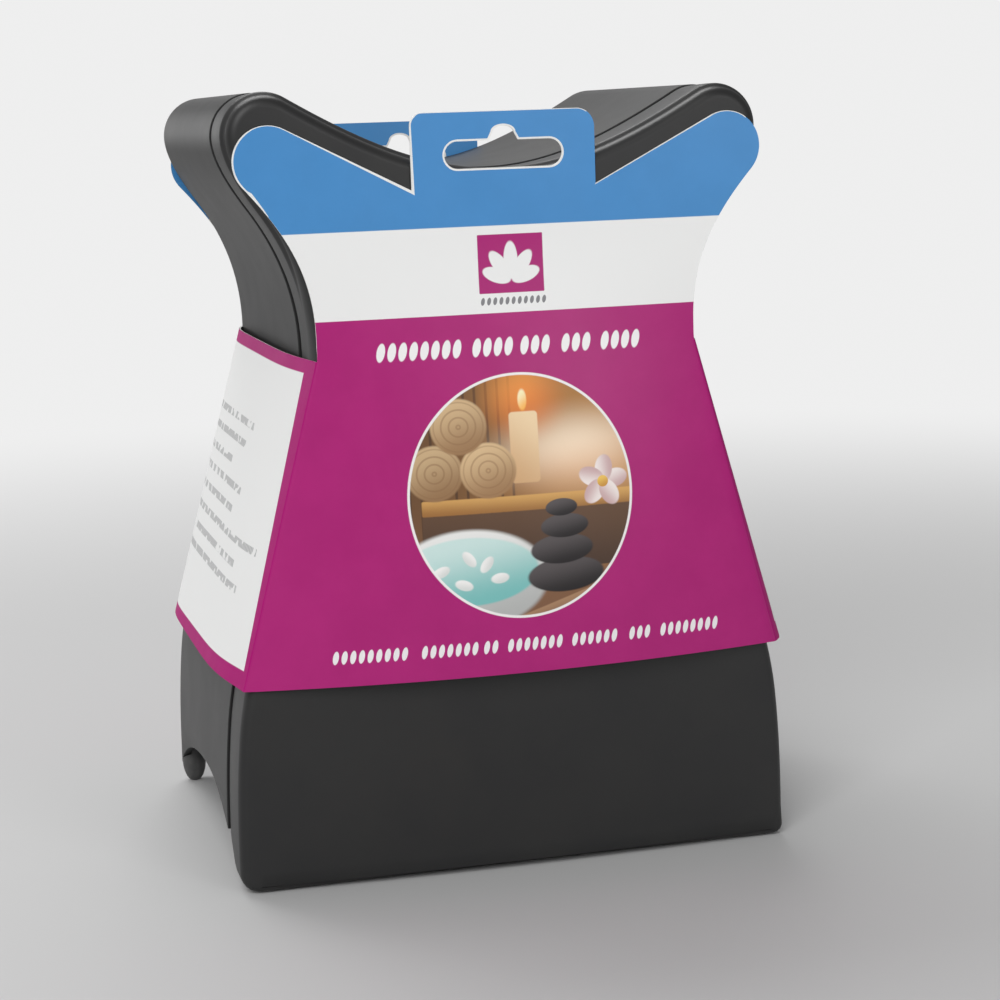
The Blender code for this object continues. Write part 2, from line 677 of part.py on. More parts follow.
def make_card(bm, facing, head_drop):
    """One curved panel, at the front where facing is -1 and at the rear where it is 1."""
    flat = SLEEVE_FRONT * -facing
    verts = [bm.verts.new((x, flat, z)) for x, z in card_outline(head_drop)]
    face = bm.faces.new(verts)
    cut_by_planes(bm, [face], grid_planes(SLEEVE_BOTTOM_HALF_WIDTH, SLEEVE_BOTTOM, BULGE_TOP))
    fold_verts = {-1: [], 1: []}
    for vert in bm.verts:
        x, y, z = vert.co
        if y * facing < 0:
            continue
        on_fold = z < SLEEVE_TOP + GAP / 2 and abs(abs(x) - fold_half_width(z)) < GAP / 10
        vert.co.y = flat + facing * panel_bulge(x, z)
        if on_fold:
            fold_verts[1 if x > 0 else -1].append(vert)
    return {side: sorted(found, key=lambda v: v.co.z) for side, found in fold_verts.items()}


def side_bow(share, z):
    """How far a side panel stands out, at a share of the way from its front fold to its rear fold."""
    rise = (z - SLEEVE_BOTTOM) / (SLEEVE_TOP - SLEEVE_BOTTOM)
    off_middle = abs(2 * share ** SIDE_BOW_LEAN - 1)
    return (SIDE_BOW + SIDE_BOW_GAIN * rise) * (1 - off_middle ** SIDE_BOW_FULLNESS)


def make_sleeve_sheet(bm):
    """The sleeve's outer face: front and rear panels, joined by two bowed side panels."""
    front = make_card(bm, -1, 0)
    rear = make_card(bm, 1, REAR_HEAD_DROP)
    for side in (-1, 1):
        columns = [front[side]]
        for column in range(1, SIDE_COLUMNS):
            share = column / SIDE_COLUMNS
            line = []
            for near, far in zip(front[side], rear[side]):
                y = near.co.y + (far.co.y - near.co.y) * share
                x = near.co.x + side * side_bow(share, near.co.z)
                line.append(bm.verts.new((x, y, near.co.z)))
            columns.append(line)
        columns.append(rear[side])
        for low, high in zip(columns, columns[1:]):
            for i in range(len(low) - 1):
                bm.faces.new((low[i], high[i], high[i + 1], low[i + 1]))


def slot_outline(middle):
    """The hanging slot, a long hole with a hump on its upper edge."""
    radius = SLOT_HEIGHT / 2
    end_x = SLOT_HALF_LENGTH - radius
    outline = arc((end_x, middle), radius, -QUARTER, QUARTER, CORNER_STEPS * 2)
    outline.append((end_x, middle + radius))
    outline += arc((0, middle + radius), SLOT_HUMP_RADIUS, 0, math.pi, CORNER_STEPS * 2)
    outline.append((-SLOT_HUMP_RADIUS, middle + radius))
    outline += arc((-end_x, middle), radius, QUARTER, 3 * QUARTER, CORNER_STEPS * 2)
    outline.append((-end_x, middle - radius))
    return outline


def build_sleeve(material):
    sleeve = new_object("display_sleeve", make_sleeve_sheet, material, smooth_angle=20)
    thick = sleeve.modifiers.new("board", "SOLIDIFY")
    thick.thickness = BOARD
    thick.offset = -1
    thick.use_even_offset = True
    slot_middle = TAB_HEIGHT - SLOT_DROP
    for name, middle, facing in (("front", slot_middle, -1), ("rear", slot_middle - REAR_HEAD_DROP, 1)):
        face = -facing * SLEEVE_FRONT
        ends = sorted((face - facing * OVERRUN, face + facing * OVERRUN))
        cutter = new_object(f"slot_cut_{name}", prism(slot_outline(middle), across_y, ends), None)
        apply_boolean(sleeve, cutter, "DIFFERENCE")
    return sleeve


def main():
    clear_scene()
    body_plastic = make_material("body_plastic", (0.055, 0.056, 0.058), 0.5)
    cover_plastic = make_material("cover_plastic", (0.045, 0.046, 0.048), 0.5)
    foot_rubber = make_material("foot_rubber", (0.03, 0.03, 0.031), 0.75)
    screw_steel = make_material("screw_steel", (0.55, 0.55, 0.56), 0.35, 1.0)
    printed_board = make_material("printed_board", (0.42, 0.03, 0.20), 0.4)
    build_body_shell(body_plastic)
    build_front_cover(cover_plastic)
    build_sleeve(printed_board)
    for i, (x, z) in enumerate(post_places(), 1):
        build_screw(i, x, z, screw_steel)
    for side, word in ((-1, "left"), (1, "right")):
        build_rear_foot(f"foot_rear_{word}", side, foot_rubber)
        build_front_pad(f"foot_front_{word}", side, foot_rubber)


main()
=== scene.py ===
import math

import bmesh
import bpy
from mathutils import Matrix, Vector


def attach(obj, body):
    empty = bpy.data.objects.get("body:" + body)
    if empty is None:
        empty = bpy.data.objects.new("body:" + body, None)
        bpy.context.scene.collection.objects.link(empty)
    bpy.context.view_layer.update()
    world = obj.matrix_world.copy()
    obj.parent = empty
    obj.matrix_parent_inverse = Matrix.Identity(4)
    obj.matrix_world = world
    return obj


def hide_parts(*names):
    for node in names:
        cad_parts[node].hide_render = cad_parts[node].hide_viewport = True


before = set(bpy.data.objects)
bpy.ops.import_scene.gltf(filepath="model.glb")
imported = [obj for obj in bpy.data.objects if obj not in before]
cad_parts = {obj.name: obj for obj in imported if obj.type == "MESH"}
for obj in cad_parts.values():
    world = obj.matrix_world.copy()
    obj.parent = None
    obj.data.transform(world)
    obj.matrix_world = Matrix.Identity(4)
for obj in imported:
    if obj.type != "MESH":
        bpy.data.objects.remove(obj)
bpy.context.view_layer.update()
scene = bpy.context.scene
quarterTurn = math.pi / 2
overrun = 0.010   # how far a cutter reaches past what it cuts


# shared drawing tools

def eased(value, start, end):
    share = min(max((value - start) / (end - start), 0), 1)
    return share * share * (3 - 2 * share)


def onCircle(centre, radius, turn):
    return (centre[0] + radius * math.cos(turn), centre[1] + radius * math.sin(turn))


def arcPoints(centre, radius, start, end, steps):  # leaves out the last point
    return [onCircle(centre, radius, start + (end - start) * step / steps) for step in range(steps)]


def curvePoints(start, startWay, end, endWay, shares, steps):  # leaves out the last point
    span = math.dist(start, end)
    leaving, arriving = onCircle(start, span * shares[0], startWay), onCircle(end, -span * shares[1], endWay)
    handles = (start, leaving, arriving, end)
    points = []
    for step in range(steps):
        t = step / steps
        weights = ((1 - t) ** 3, 3 * t * (1 - t) ** 2, 3 * t * t * (1 - t), t ** 3)
        points.append(tuple(sum(w * p[i] for w, p in zip(weights, handles)) for i in (0, 1)))
    return points


def lineAt(points, value, axis, otherwise):  # the other coordinate where a chain of points reaches value
    for a, b in zip(points, points[1:]):
        if a[axis] <= value <= b[axis]:
            return a[1 - axis] + (b[1 - axis] - a[1 - axis]) * (value - a[axis]) / (b[axis] - a[axis])
    return otherwise


def inwardSteps(outline):  # how each point moves when the outline shrinks by one unit
    steps = []
    for i, here in enumerate(outline):
        before, after = outline[i - 1], outline[(i + 1) % len(outline)]
        normals = []
        for (x0, z0), (x1, z1) in ((before, here), (here, after)):
            length = math.dist((x0, z0), (x1, z1))
            normals.append(((z0 - z1) / length, (x1 - x0) / length))
        (ax, az), (bx, bz) = normals
        scale = 1 + ax * bx + az * bz
        steps.append(((ax + bx) / scale, (az + bz) / scale))
    return steps


def makeObject(name, fill, smoothAngle=30):
    mesh = bpy.data.meshes.new(name)
    bm = bmesh.new()
    fill(bm)
    bmesh.ops.recalc_face_normals(bm, faces=bm.faces)
    bm.to_mesh(mesh)
    bm.free()
    mesh.shade_smooth()
    mesh.set_sharp_from_angle(angle=math.radians(smoothAngle))
    made = bpy.data.objects.new(name, mesh)
    scene.collection.objects.link(made)
    return made


def loft(rings, cutCaps=None):
    def fill(bm):
        loops = [[bm.verts.new(p) for p in points] for points in rings]
        count = len(loops[0])
        for low, high in zip(loops, loops[1:]):
            for i in range(count):
                j = (i + 1) % count
                bm.faces.new((low[i], low[j], high[j], high[i]))
        caps = [bm.faces.new(list(reversed(loops[0]))), bm.faces.new(loops[-1])]
        if cutCaps:
            for cap in caps:
                cutCaps(bm, cap)

    return fill


def cutByPlanes(bm, face, planes):
    parts = [face]
    for point, normal in planes:
        pieces = set(parts)
        for face in parts:
            pieces.update(face.edges)
            pieces.update(face.verts)
        result = bmesh.ops.bisect_plane(bm, geom=list(pieces), plane_co=point, plane_no=normal)
        parts = [item for item in result["geom"] if isinstance(item, bmesh.types.BMFace)]


def gridPlanes(halfWidth, low, high, columns, rows):
    planes = [((-halfWidth + 2 * halfWidth * i / columns, 0, 0), (1, 0, 0)) for i in range(1, columns)]
    return planes + [((0, 0, low + (high - low) * i / rows), (0, 0, 1)) for i in range(1, rows)]


def cylinder(name, x, z, radii, ends, steps=32):
    circles = [(arcPoints((x, z), radius, 0, math.tau, steps), y) for radius, y in zip(radii, ends)]
    return makeObject(name, loft([[(px, y, pz) for px, pz in circle] for circle, y in circles]))


def block(name, low, high):
    corners = [(low[0], low[2]), (high[0], low[2]), (high[0], high[2]), (low[0], high[2])]
    return makeObject(name, loft([[(x, y, z) for x, z in corners] for y in (low[1], high[1])]))


def sweepAlongX(name, outline, reach):
    return makeObject(name, loft([[(x, y, z) for y, z in outline] for x in (-reach, reach)]))


def sweepAlongY(name, outline, ends):
    return makeObject(name, loft([[(x, y, z) for x, z in outline] for y in ends]))


def carve(target, joined, removed, smoothAngle, softness=0):  # applies all modifiers and drops the helpers
    for operation, helpers in (("UNION", joined), ("DIFFERENCE", removed)):
        for helper in helpers:
            change = target.modifiers.new(helper.name, "BOOLEAN")
            change.operation = operation
            change.solver = "EXACT"
            change.object = helper
    if softness:
        edge = target.modifiers.new("soft edges", "BEVEL")
        edge.width = softness
        edge.segments = 2
        edge.limit_method = "ANGLE"
        edge.angle_limit = math.radians(50)
        edge.use_clamp_overlap = True
    bpy.context.view_layer.update()
    shaped = target.evaluated_get(bpy.context.evaluated_depsgraph_get())
    mesh = bpy.data.meshes.new_from_object(shaped)
    target.modifiers.clear()
    target.data = mesh
    mesh.shade_smooth()
    mesh.set_sharp_from_angle(angle=math.radians(smoothAngle))
    for helper in joined + removed:
        bpy.data.objects.remove(helper, do_unlink=True)


# shared material tools

def newMaterial(name):
    material = bpy.data.materials.new(name)
    material.use_nodes = True
    tree = material.node_tree
    return material, tree, tree.nodes["Principled BSDF"]


def addNode(tree, kind, inputs=None, **settings):
    made = tree.nodes.new(kind)
    for key, value in settings.items():
        setattr(made, key, value)
    for key, value in (inputs or {}).items():
        if isinstance(value, bpy.types.NodeSocket):
            tree.links.new(value, made.inputs[key])
        else:
            made.inputs[key].default_value = value
    return made


def calc(tree, operation, *values):
    return addNode(tree, "ShaderNodeMath", dict(enumerate(values)), operation=operation).outputs[0]


def product(tree, value, *more):
    for other in more:
        value = calc(tree, "MULTIPLY", value, other)
    return value


def strongest(tree, masks):
    result = masks[0]
    for mask in masks[1:]:
        result = calc(tree, "MAXIMUM", result, mask)
    return result


def vectorCalc(tree, operation, *vectors):
    return addNode(tree, "ShaderNodeVectorMath", dict(enumerate(vectors)), operation=operation).outputs


def lengthOf(tree, vector):
    return vectorCalc(tree, "LENGTH", vector)["Value"]


def axesOf(tree, vector):
    return addNode(tree, "ShaderNodeSeparateXYZ", {0: vector}).outputs


def step(tree, value, start, end):  # 0 at start, 1 at end, smooth between
    inputs = {"Value": value, "From Min": start, "From Max": end}
    return addNode(tree, "ShaderNodeMapRange", inputs, interpolation_type="SMOOTHSTEP").outputs["Result"]


def mixed(tree, share, low, high):
    low = (*low, 1) if isinstance(low, tuple) and len(low) == 3 else low
    high = (*high, 1) if isinstance(high, tuple) and len(high) == 3 else high
    return addNode(tree, "ShaderNodeMix", {0: share, 6: low, 7: high}, data_type="RGBA").outputs[2]


def toned(colour, tone, lift=0.0):
    return tuple(min(c * tone + lift, 1) for c in colour)


def noise(tree, point, scale, detail=2.0, roughness=0.5):
    inputs = {"Vector": point, "Scale": scale, "Detail": detail, "Roughness": roughness}
    return addNode(tree, "ShaderNodeTexNoise", inputs).outputs["Fac"]


def clouds(tree, point, scale, detail, roughness=0.5, span=(0.3, 0.7)):  # a noise with more contrast
    return step(tree, noise(tree, point, scale, detail, roughness), *span)


def objectPoint(tree):
    return addNode(tree, "ShaderNodeTexCoord").outputs["Object"]


def relief(tree, point, scale, detail, strength, height, under=None):  # a noise as bumps, on top of others
    inputs = {"Height": noise(tree, point, scale, detail), "Strength": strength, "Distance": height}
    if under:
        inputs["Normal"] = under
    return addNode(tree, "ShaderNodeBump", inputs).outputs["Normal"]


def dress(tree, shader, colour, rough, span, normal=None, start=0.0, end=1.0):  # rough is spread over span
    inputs = {"Value": rough, "From Min": start, "From Max": end, "To Min": span[0], "To Max": span[1]}
    tree.links.new(colour, shader.inputs["Base Color"])
    tree.links.new(addNode(tree, "ShaderNodeMapRange", inputs).outputs["Result"], shader.inputs["Roughness"])
    if normal:
        tree.links.new(normal, shader.inputs["Normal"])


# moulded outline, shared by the body and its cover

mould = {
    "height": 0.2465,
    "depth": 0.140,
    "leftShift": 0.0006,
    "baseHalfWidth": 0.0906,
    "baseCorner": {-1: 0.0060, 1: 0.0034},   # -1 is the left side, 1 the right
    "innerCorner": {-1: 0.0060, 1: 0.0060},
    "floorGap": 0.0006,
    "skirt": (0.0888, 0.0495),   # half width and height, as for the waist and shoulder
    "skirtLean": math.radians(5.8),
    "waist": (0.0610, 0.1665),
    "shoulder": (0.0754, 0.2110),
    "shoulderLean": math.radians(35.4),
    "hornRadius": 0.0133,
    "hornSpread": {-1: 0.0726, 1: 0.0710},
    "hornRise": {-1: 0.0005, 1: -0.0002},
    "saddleHeight": 0.2223,
    "saddleLean": math.radians(30.5),
    "curveShares": ((0.35, 0.35), (0.32, 0.333), (0.386, 0.32), (0.30, 0.30), (0.40, 0.316)),
    "curveSteps": (6, 8, 30, 18, 14, 30, 32),
    "wall": 0.0025,
    "seamFromFront": 0.0250,
    "seamGap": 0.0011,
    "seamSoftness": 0.0003,
    "seamStep": (0.0007, 0.0004),   # how far the cover stays inside the body, low down and at the horns
    "edgeSteps": 10,
    # inset and depth of the rolled edges
    "frontEdge": {"base": (0.0032, 0.0032), "waist": (0.0050, 0.0085), "horn": (0.0048, 0.0032)},
    "rearEdge": {"base": (0.0024, 0.0024), "waist": (0.0026, 0.0030), "horn": (0.0042, 0.0042)},
    "floorEdge": (0.6, 0.001, 0.010),   # their share at the floor, and the heights between which it grows
    "smoothAngle": 32,
}
front, rear = -mould["depth"] / 2, mould["depth"] / 2
seam = front + mould["seamFromFront"]
hornHeight = mould["height"] - mould["hornRadius"]


def mouldHalf(side, corners):  # from the middle of the floor edge up and round to the saddle
    m, turn = mould, corners[side]
    radius, height = m["hornRadius"], hornHeight + m["hornRise"][side]
    corner = (m["baseHalfWidth"] - turn, m["floorGap"] + turn)
    horn = (m["hornSpread"][side], height)
    hornEnd = quarterTurn + m["saddleLean"]
    shares, steps = m["curveShares"], m["curveSteps"]
    skirtWay, shoulderWay = quarterTurn + m["skirtLean"], quarterTurn - m["shoulderLean"]
    hornSide = (horn[0] + radius, height)
    half = arcPoints(corner, turn, -quarterTurn, 0, steps[0])
    base = (m["baseHalfWidth"], corner[1])
    half += curvePoints(base, quarterTurn, m["skirt"], skirtWay, shares[0], steps[1])
    half += curvePoints(m["skirt"], skirtWay, m["waist"], quarterTurn, shares[1], steps[2])
    half += curvePoints(m["waist"], quarterTurn, m["shoulder"], shoulderWay, shares[2], steps[3])
    half += curvePoints(m["shoulder"], shoulderWay, hornSide, quarterTurn, shares[3], steps[4])
    half += arcPoints(horn, radius, 0, hornEnd, steps[5])
    hornFoot, saddle = onCircle(horn, radius, hornEnd), (0, m["saddleHeight"])
    half += curvePoints(hornFoot, math.pi + m["saddleLean"], saddle, math.pi, shares[4], steps[6])
    return [(side * x - m["leftShift"], z) for x, z in half]


def mouldOutline(corners):
    saddle = (-mould["leftShift"], mould["saddleHeight"])
    return mouldHalf(1, corners) + [saddle] + mouldHalf(-1, corners)[::-1]


def edgeSize(z, which, end="frontEdge"):  # which is 0 for the inset and 1 for the depth of the rolled edge
    low, middle, high = (mould[end][name][which] for name in ("base", "waist", "horn"))
    soft = eased(z, mould["skirt"][1], mould["waist"][1])
    horn = eased(z, mould["waist"][1], mould["shoulder"][1])
    share, start, full = mould["floorEdge"]
    low, rise = low * (share + (1 - share) * eased(z, start, full)), middle - low
    return low + rise * soft + (high - middle) * horn


outline, innerOutline = mouldOutline(mould["baseCorner"]), mouldOutline(mould["innerCorner"])
inward, innerInward = inwardSteps(outline), inwardSteps(innerOutline)


def ring(inset, y, inner=False):  # inset and y are numbers, or functions of height
    points = []
    for (x, z), (dx, dz) in zip(innerOutline if inner else outline, innerInward if inner else inward):
        d = inset(z) if callable(inset) else inset
        points.append((x + dx * d, y(z) if callable(y) else y, z + dz * d))
    return points


def rolledEdge(wallPlane, way, end, dip=lambda z: 0):  # rings from the face plane round to the side
    rings = []
    for k in range(mould["edgeSteps"] + 1):
        turn = quarterTurn * k / mould["edgeSteps"]
        rings.append(ring(
            lambda z, turn=turn: dip(z) + (edgeSize(z, 0, end) - dip(z)) * (1 - math.sin(turn)),
            lambda z, turn=turn: wallPlane + way * edgeSize(z, 1, end) * (1 - math.cos(turn)),
        ))
    return rings


arch = {
    "coverSole": 0.0068,
    "crest": (0.066, 0.0242),   # from the front, height
    "leans": (math.radians(52), math.radians(42)),
    "shares": (0.26, 0.38),
    "heel": 0.0052,
    "rearHalfWidth": 0.0785,
    "rearHeight": 0.017,
    "rearCorner": 0.010,
    "steps": 32,
    "cornerSteps": 12,
}


crest, heel = (front + arch["crest"][0], arch["crest"][1]), (rear, arch["heel"])
archFall = curvePoints(crest, 0, heel, -arch["leans"][1], arch["shares"][::-1], arch["steps"])


def archHelper(name):
    a, far, start = arch, overrun, (front + arch["coverSole"], 0)
    points = curvePoints(start, a["leans"][0], crest, 0, a["shares"], a["steps"]) + archFall
    points += [heel, (rear + far, a["heel"]), (rear + far, -far), (start[0], -far)]
    return sweepAlongX(name, points, mould["baseHalfWidth"] + far)


def rearArchHelper(name):
    a, shift, far = arch, mould["leftShift"], overrun
    corner = (a["rearHalfWidth"] - a["rearCorner"], a["rearHeight"] - a["rearCorner"])
    half = [(a["rearHalfWidth"], -far)] + arcPoints(corner, a["rearCorner"], 0, quarterTurn, a["cornerSteps"])
    half.append((corner[0], a["rearHeight"]))
    points = [(x - shift, z) for x, z in half] + [(-x - shift, z) for x, z in reversed(half)]
    return sweepAlongY(name, points, (rear - mould["wall"] - far, rear + far))


posts = {
    "places": ((0.0726, 0.2337), (0.046, 0.128), (0.074, 0.036)),
    "radii": (0.0050, 0.0041),   # at the root and at the tip
    "padRadius": 0.0060,
    "padDepth": 0.0030,
    "tipGap": 0.0003,
    "headRecess": (0.0044, 0.0028),   # radius, depth
    "holeRadius": 0.0018,
    "holeDepth": 0.020,
    "pilotDepth": 0.0105,
}
postPlaces = [(side * x - mould["leftShift"], z) for x, z in posts["places"] for side in (-1, 1)]


# finishes of the moulded parts

plastic = {
    "dark": (0.0145, 0.0145, 0.0150),
    "pale": (0.0172, 0.0170, 0.0168),
    "cloud": (26, 3, 0.6),   # scale, detail and roughness of a noise
    "cloudSpan": (0.35, 0.65),
    "roughness": (0.45, 0.48),
    "roughNoise": (60, 2),
    "roughSpan": (0.3, 0.7),
    "grain": (2600, 2, 0.10, 0.00015),   # scale and detail, strength and height of a relief
    "wave": (18, 1, 0.01, 0.004),
}
paintedLight = {   # painted light: a faint warm, paler patch low on the cover's front, standing in for light falling on its crowned face
    "centre": (-0.030, 0, 0.032),
    "size": (0.034, 1, 0.036),
    "fade": (1.0, 0.1),
    "noise": (40, 2),
    "colour": (0.060, 0.050, 0.036),
    "strength": 0.10,
}
smallFinishes = {
    "footRubber": {
        "noise": clouds, "cloud": (300, 3), "colours": ((0.012, 0.012, 0.012), (0.026, 0.025, 0.024)),
        "roughNoise": (700, 2), "roughness": (0.66, 0.88), "grain": (1800, 2, 0.3, 0.0003), "metallic": 0.0,
    },
    "footPlastic": {   # close in colour to the walls
        "noise": clouds, "cloud": (260, 3), "colours": ((0.058, 0.058, 0.058), (0.085, 0.084, 0.083)),
        "roughNoise": (500, 2), "roughness": (0.46, 0.60), "grain": (1500, 2, 0.15, 0.0002), "metallic": 0.0,
    },
    "zincPlatedSteel": {
        "noise": noise, "cloud": (900, 3), "colours": ((0.50, 0.51, 0.53), (0.68, 0.68, 0.66)),
        "roughNoise": (1500, 2), "roughness": (0.22, 0.42), "grain": (3000, 2, 0.1, 0.0001), "metallic": 1.0,
    },
}


def plasticMaterial(name, tone, specular, litPatch=False):
    p = plastic
    material, tree, shader = newMaterial(name)
    point = objectPoint(tree)
    cloud = clouds(tree, point, *p["cloud"], p["cloudSpan"])
    colour = mixed(tree, cloud, toned(p["dark"], tone), toned(p["pale"], tone))
    # painted light: a paler warm patch on the lower front stands in for light falling there
    if litPatch:
        litPlace = addNode(tree, "ShaderNodeMapping", {
            "Vector": point, "Location": paintedLight["centre"], "Scale": paintedLight["size"]}, vector_type="TEXTURE")
        reach = lengthOf(tree, vectorCalc(tree, "MULTIPLY", litPlace.outputs[0], (1, 0, 1))[0])
        litShare = clouds(tree, point, *paintedLight["noise"])
        litShare = product(tree, step(tree, reach, *paintedLight["fade"]), litShare, paintedLight["strength"])
        colour = mixed(tree, litShare, colour, paintedLight["colour"])
    grain = relief(tree, point, *p["grain"], relief(tree, point, *p["wave"]))
    dress(tree, shader, colour, noise(tree, point, *p["roughNoise"]), p["roughness"], grain, *p["roughSpan"])
    shader.inputs["Specular IOR Level"].default_value = specular
    return material


def smallMaterial(name):
    f = smallFinishes[name]
    material, tree, shader = newMaterial(name)
    point = objectPoint(tree)
    colour = mixed(tree, f["noise"](tree, point, *f["cloud"]), *f["colours"])
    rough, grain = noise(tree, point, *f["roughNoise"]), relief(tree, point, *f["grain"])
    dress(tree, shader, colour, rough, f["roughness"], grain)
    shader.inputs["Metallic"].default_value = f["metallic"]
    return material


bodyPlastic = plasticMaterial("bodyPlastic", 1.1, 0.38)
# the cover carries the painted-light patch on its lower front
coverPlastic = plasticMaterial("coverPlastic", 1.05, 0.44, litPatch=True)
footRubber, footPlastic, zincPlatedSteel = (smallMaterial(name) for name in smallFinishes)


# body shell

body = {
    "ribPlaces": (-0.026, 0, 0.026),
    "ribWidth": 0.002,
    "ribDrop": 0.012,
    "ribFromSeam": 0.008,
    "softness": 0.00035,
}


def buildBodyShell():
    m, p, b = mould, posts, body
    edge = seam + m["seamGap"] / 2
    rings = rolledEdge(rear, -1, "rearEdge")
    rings += [ring(0, edge + m["seamSoftness"]), ring(m["seamSoftness"], edge), ring(m["wall"], edge, True)]
    rings.append(ring(m["wall"], lambda z: rear - edgeSize(z, 1, "rearEdge") - m["wall"] / 2, True))
    rings.append(ring(lambda z: edgeSize(z, 0, "rearEdge") + m["wall"] / 2, rear - m["wall"], True))
    shell = makeObject("bodyShell", loft(rings))
    pads, holes, ribs = [], [], []
    back, far, (recess, depth) = rear - m["wall"], rear + overrun, p["headRecess"]
    for i, (x, z) in enumerate(postPlaces):
        ends = (back - p["padDepth"], back + m["wall"] / 2)
        pads.append(cylinder(f"pad{i}", x, z, (p["padRadius"],) * 2, ends))
        holes.append(cylinder(f"recess{i}", x, z, (recess,) * 2, (rear - depth, far)))
        holes.append(cylinder(f"hole{i}", x, z, (p["holeRadius"],) * 2, (back - p["holeDepth"], far)))
    for i, x in enumerate(b["ribPlaces"]):
        under = saddleHeight(x) - m["wall"]
        low = (x - b["ribWidth"] / 2 - m["leftShift"], seam + b["ribFromSeam"], under - b["ribDrop"])
        high = (low[0] + b["ribWidth"], rear - m["wall"] / 2, under + m["wall"] / 2)
        ribs.append(block(f"rib{i}", low, high))
    arches = [archHelper("bodyArch"), rearArchHelper("rearArch")]
    carve(shell, pads + ribs, holes + arches, m["smoothAngle"], b["softness"])
    shell.data.materials.append(bodyPlastic)
    return shell


def saddleHeight(x):
    upper = sorted(p for p in outline if p[1] >= mould["saddleHeight"] and abs(p[0]) < mould["hornSpread"][1])
    return lineAt(upper, x, 0, mould["saddleHeight"])


bodyShell = buildBodyShell()
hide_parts("body_shell")
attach(bodyShell, "root")
print("body shell made:", len(bodyShell.data.polygons), "faces")


# front cover

cover = {
    "crown": 0.0030,
    "grooveDepth": 0.0013,
    "grooveRamp": 0.0024,
    "grooveHeights": (0.178, 0.205),   # starts, full
    "lipReach": 0.003,
    "lipWall": 0.0012,
    "lipRoot": 0.005,
    "lipGap": 0.0003,
    "padPocket": (0.0246, 0.0042, 0.0018),   # length, width, depth
    "pocketPlace": (0.064, 0.0032),   # from the middle, and from the front
    "crownRows": 400,
    "rampSteps": 8,
    "leanShares": (0.3, 0.6, 0.85),
    "faceGrid": (30, 26),
    "softness": 0.0003,
}


def halfWidthAt(z):
    m = mould
    right = [p for p in outline if p[0] > m["waist"][0] / 2 and p[1] < hornHeight]
    return lineAt(right, z, 1, m["baseHalfWidth"] - m["leftShift"]) + m["leftShift"]


def crownCover(bm):
    rows = cover["crownRows"]
    widths = [halfWidthAt(i * mould["height"] / rows) for i in range(rows + 1)]
    for vert in bm.verts:
        x, y, z = vert.co
        halfWidth = widths[min(max(round(z / mould["height"] * rows), 0), rows)]
        across = 1 - min(abs(x + mould["leftShift"]) / halfWidth, 1) ** 2
        fade = 1 - eased(z, (mould["skirt"][1] + mould["waist"][1]) / 2, mould["waist"][1])
        back = min(max((seam - y) / (seam - front - mould["wall"]), 0), 1)
        vert.co.y = y - cover["crown"] * across * fade * back


def buildFrontCover():
    m, c, p = mould, cover, posts
    edge = seam - m["seamGap"] / 2

    def dip(z):
        return c["grooveDepth"] * eased(z, *c["grooveHeights"])

    def seamStep(z):
        low, high = m["seamStep"]
        return low + (high - low) * eased(z, m["waist"][1], m["shoulder"][1])

    rings = rolledEdge(front, 1, "frontEdge", dip)
    for k in range(1, c["rampSteps"] + 1):  # the groove's floor climbs back to the wall
        share = k / c["rampSteps"]
        rings.append(ring(
            lambda z, share=share: dip(z) * (0.5 + 0.5 * math.cos(math.pi * share)),
            lambda z, share=share: front + edgeSize(z, 1) + c["grooveRamp"] * share,
        ))
    for share in c["leanShares"]:  # the wall leans in a little towards the seam
        rings.append(ring(
            lambda z, share=share: seamStep(z) * share ** 2,
            lambda z, share=share: (1 - share) * (front + edgeSize(z, 1) + c["grooveRamp"]) + share * edge,
        ))
    rings.append(ring(seamStep, edge - m["seamSoftness"]))
    rings.append(ring(lambda z: seamStep(z) + m["seamSoftness"], edge))
    lipOut = m["wall"] + c["lipGap"]
    lipIn = lipOut + c["lipWall"]
    rings += [ring(*at, True) for at in ((lipOut, edge), (lipOut, seam + c["lipReach"]),
                                         (lipIn, seam + c["lipReach"]), (lipIn, seam - c["lipRoot"]))]
    rings.append(ring(m["wall"], seam - c["lipRoot"] - c["lipWall"], True))
    rings.append(ring(m["wall"], lambda z: front + edgeSize(z, 1) + m["wall"] / 2, True))
    rings.append(ring(lambda z: edgeSize(z, 0) + m["wall"] / 2, front + m["wall"], True))
    planes = gridPlanes(m["baseHalfWidth"], m["floorGap"], m["waist"][1], *c["faceGrid"])
    tray = loft(rings, lambda bm, cap: cutByPlanes(bm, cap, planes))

    def fill(bm):
        tray(bm)
        crownCover(bm)

    shell = makeObject("frontCover", fill)
    tip = rear - m["wall"] - p["padDepth"] - p["tipGap"]
    columns, holes = [], []
    for i, (x, z) in enumerate(postPlaces):
        columns.append(cylinder(f"post{i}", x, z, p["radii"], (front + m["wall"] / 2, tip)))
        ends = (tip - p["pilotDepth"], tip + overrun)
        holes.append(cylinder(f"pilot{i}", x, z, (p["holeRadius"],) * 2, ends))
    (long, wide, deep), (aside, inFromFront) = c["padPocket"], c["pocketPlace"]
    for i, side in enumerate((-1, 1)):
        x = side * aside - m["leftShift"]
        low = (x - long / 2, front + inFromFront, -overrun)
        holes.append(block(f"pocket{i}", low, (x + long / 2, low[1] + wide, deep)))
    holes.append(archHelper("coverArch"))
    carve(shell, columns, holes, m["smoothAngle"], c["softness"])
    shell.data.materials.append(coverPlastic)
    return shell


frontCover = buildFrontCover()
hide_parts("front_cover")
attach(frontCover, "root")
print("front cover made:", len(frontCover.data.polygons), "faces")


# feet and screws

feet = {
    "halfWidth": 0.0041,
    "rounding": (0.0034, 0.0072),   # inset, height
    "cornerShare": 0.85,
    "height": 0.0125,
    "gap": 0.0003,
    "coreGap": 0.0003,
    "roundSteps": 14,
    "cornerSteps": 10,
    "smoothAngle": 35,
}


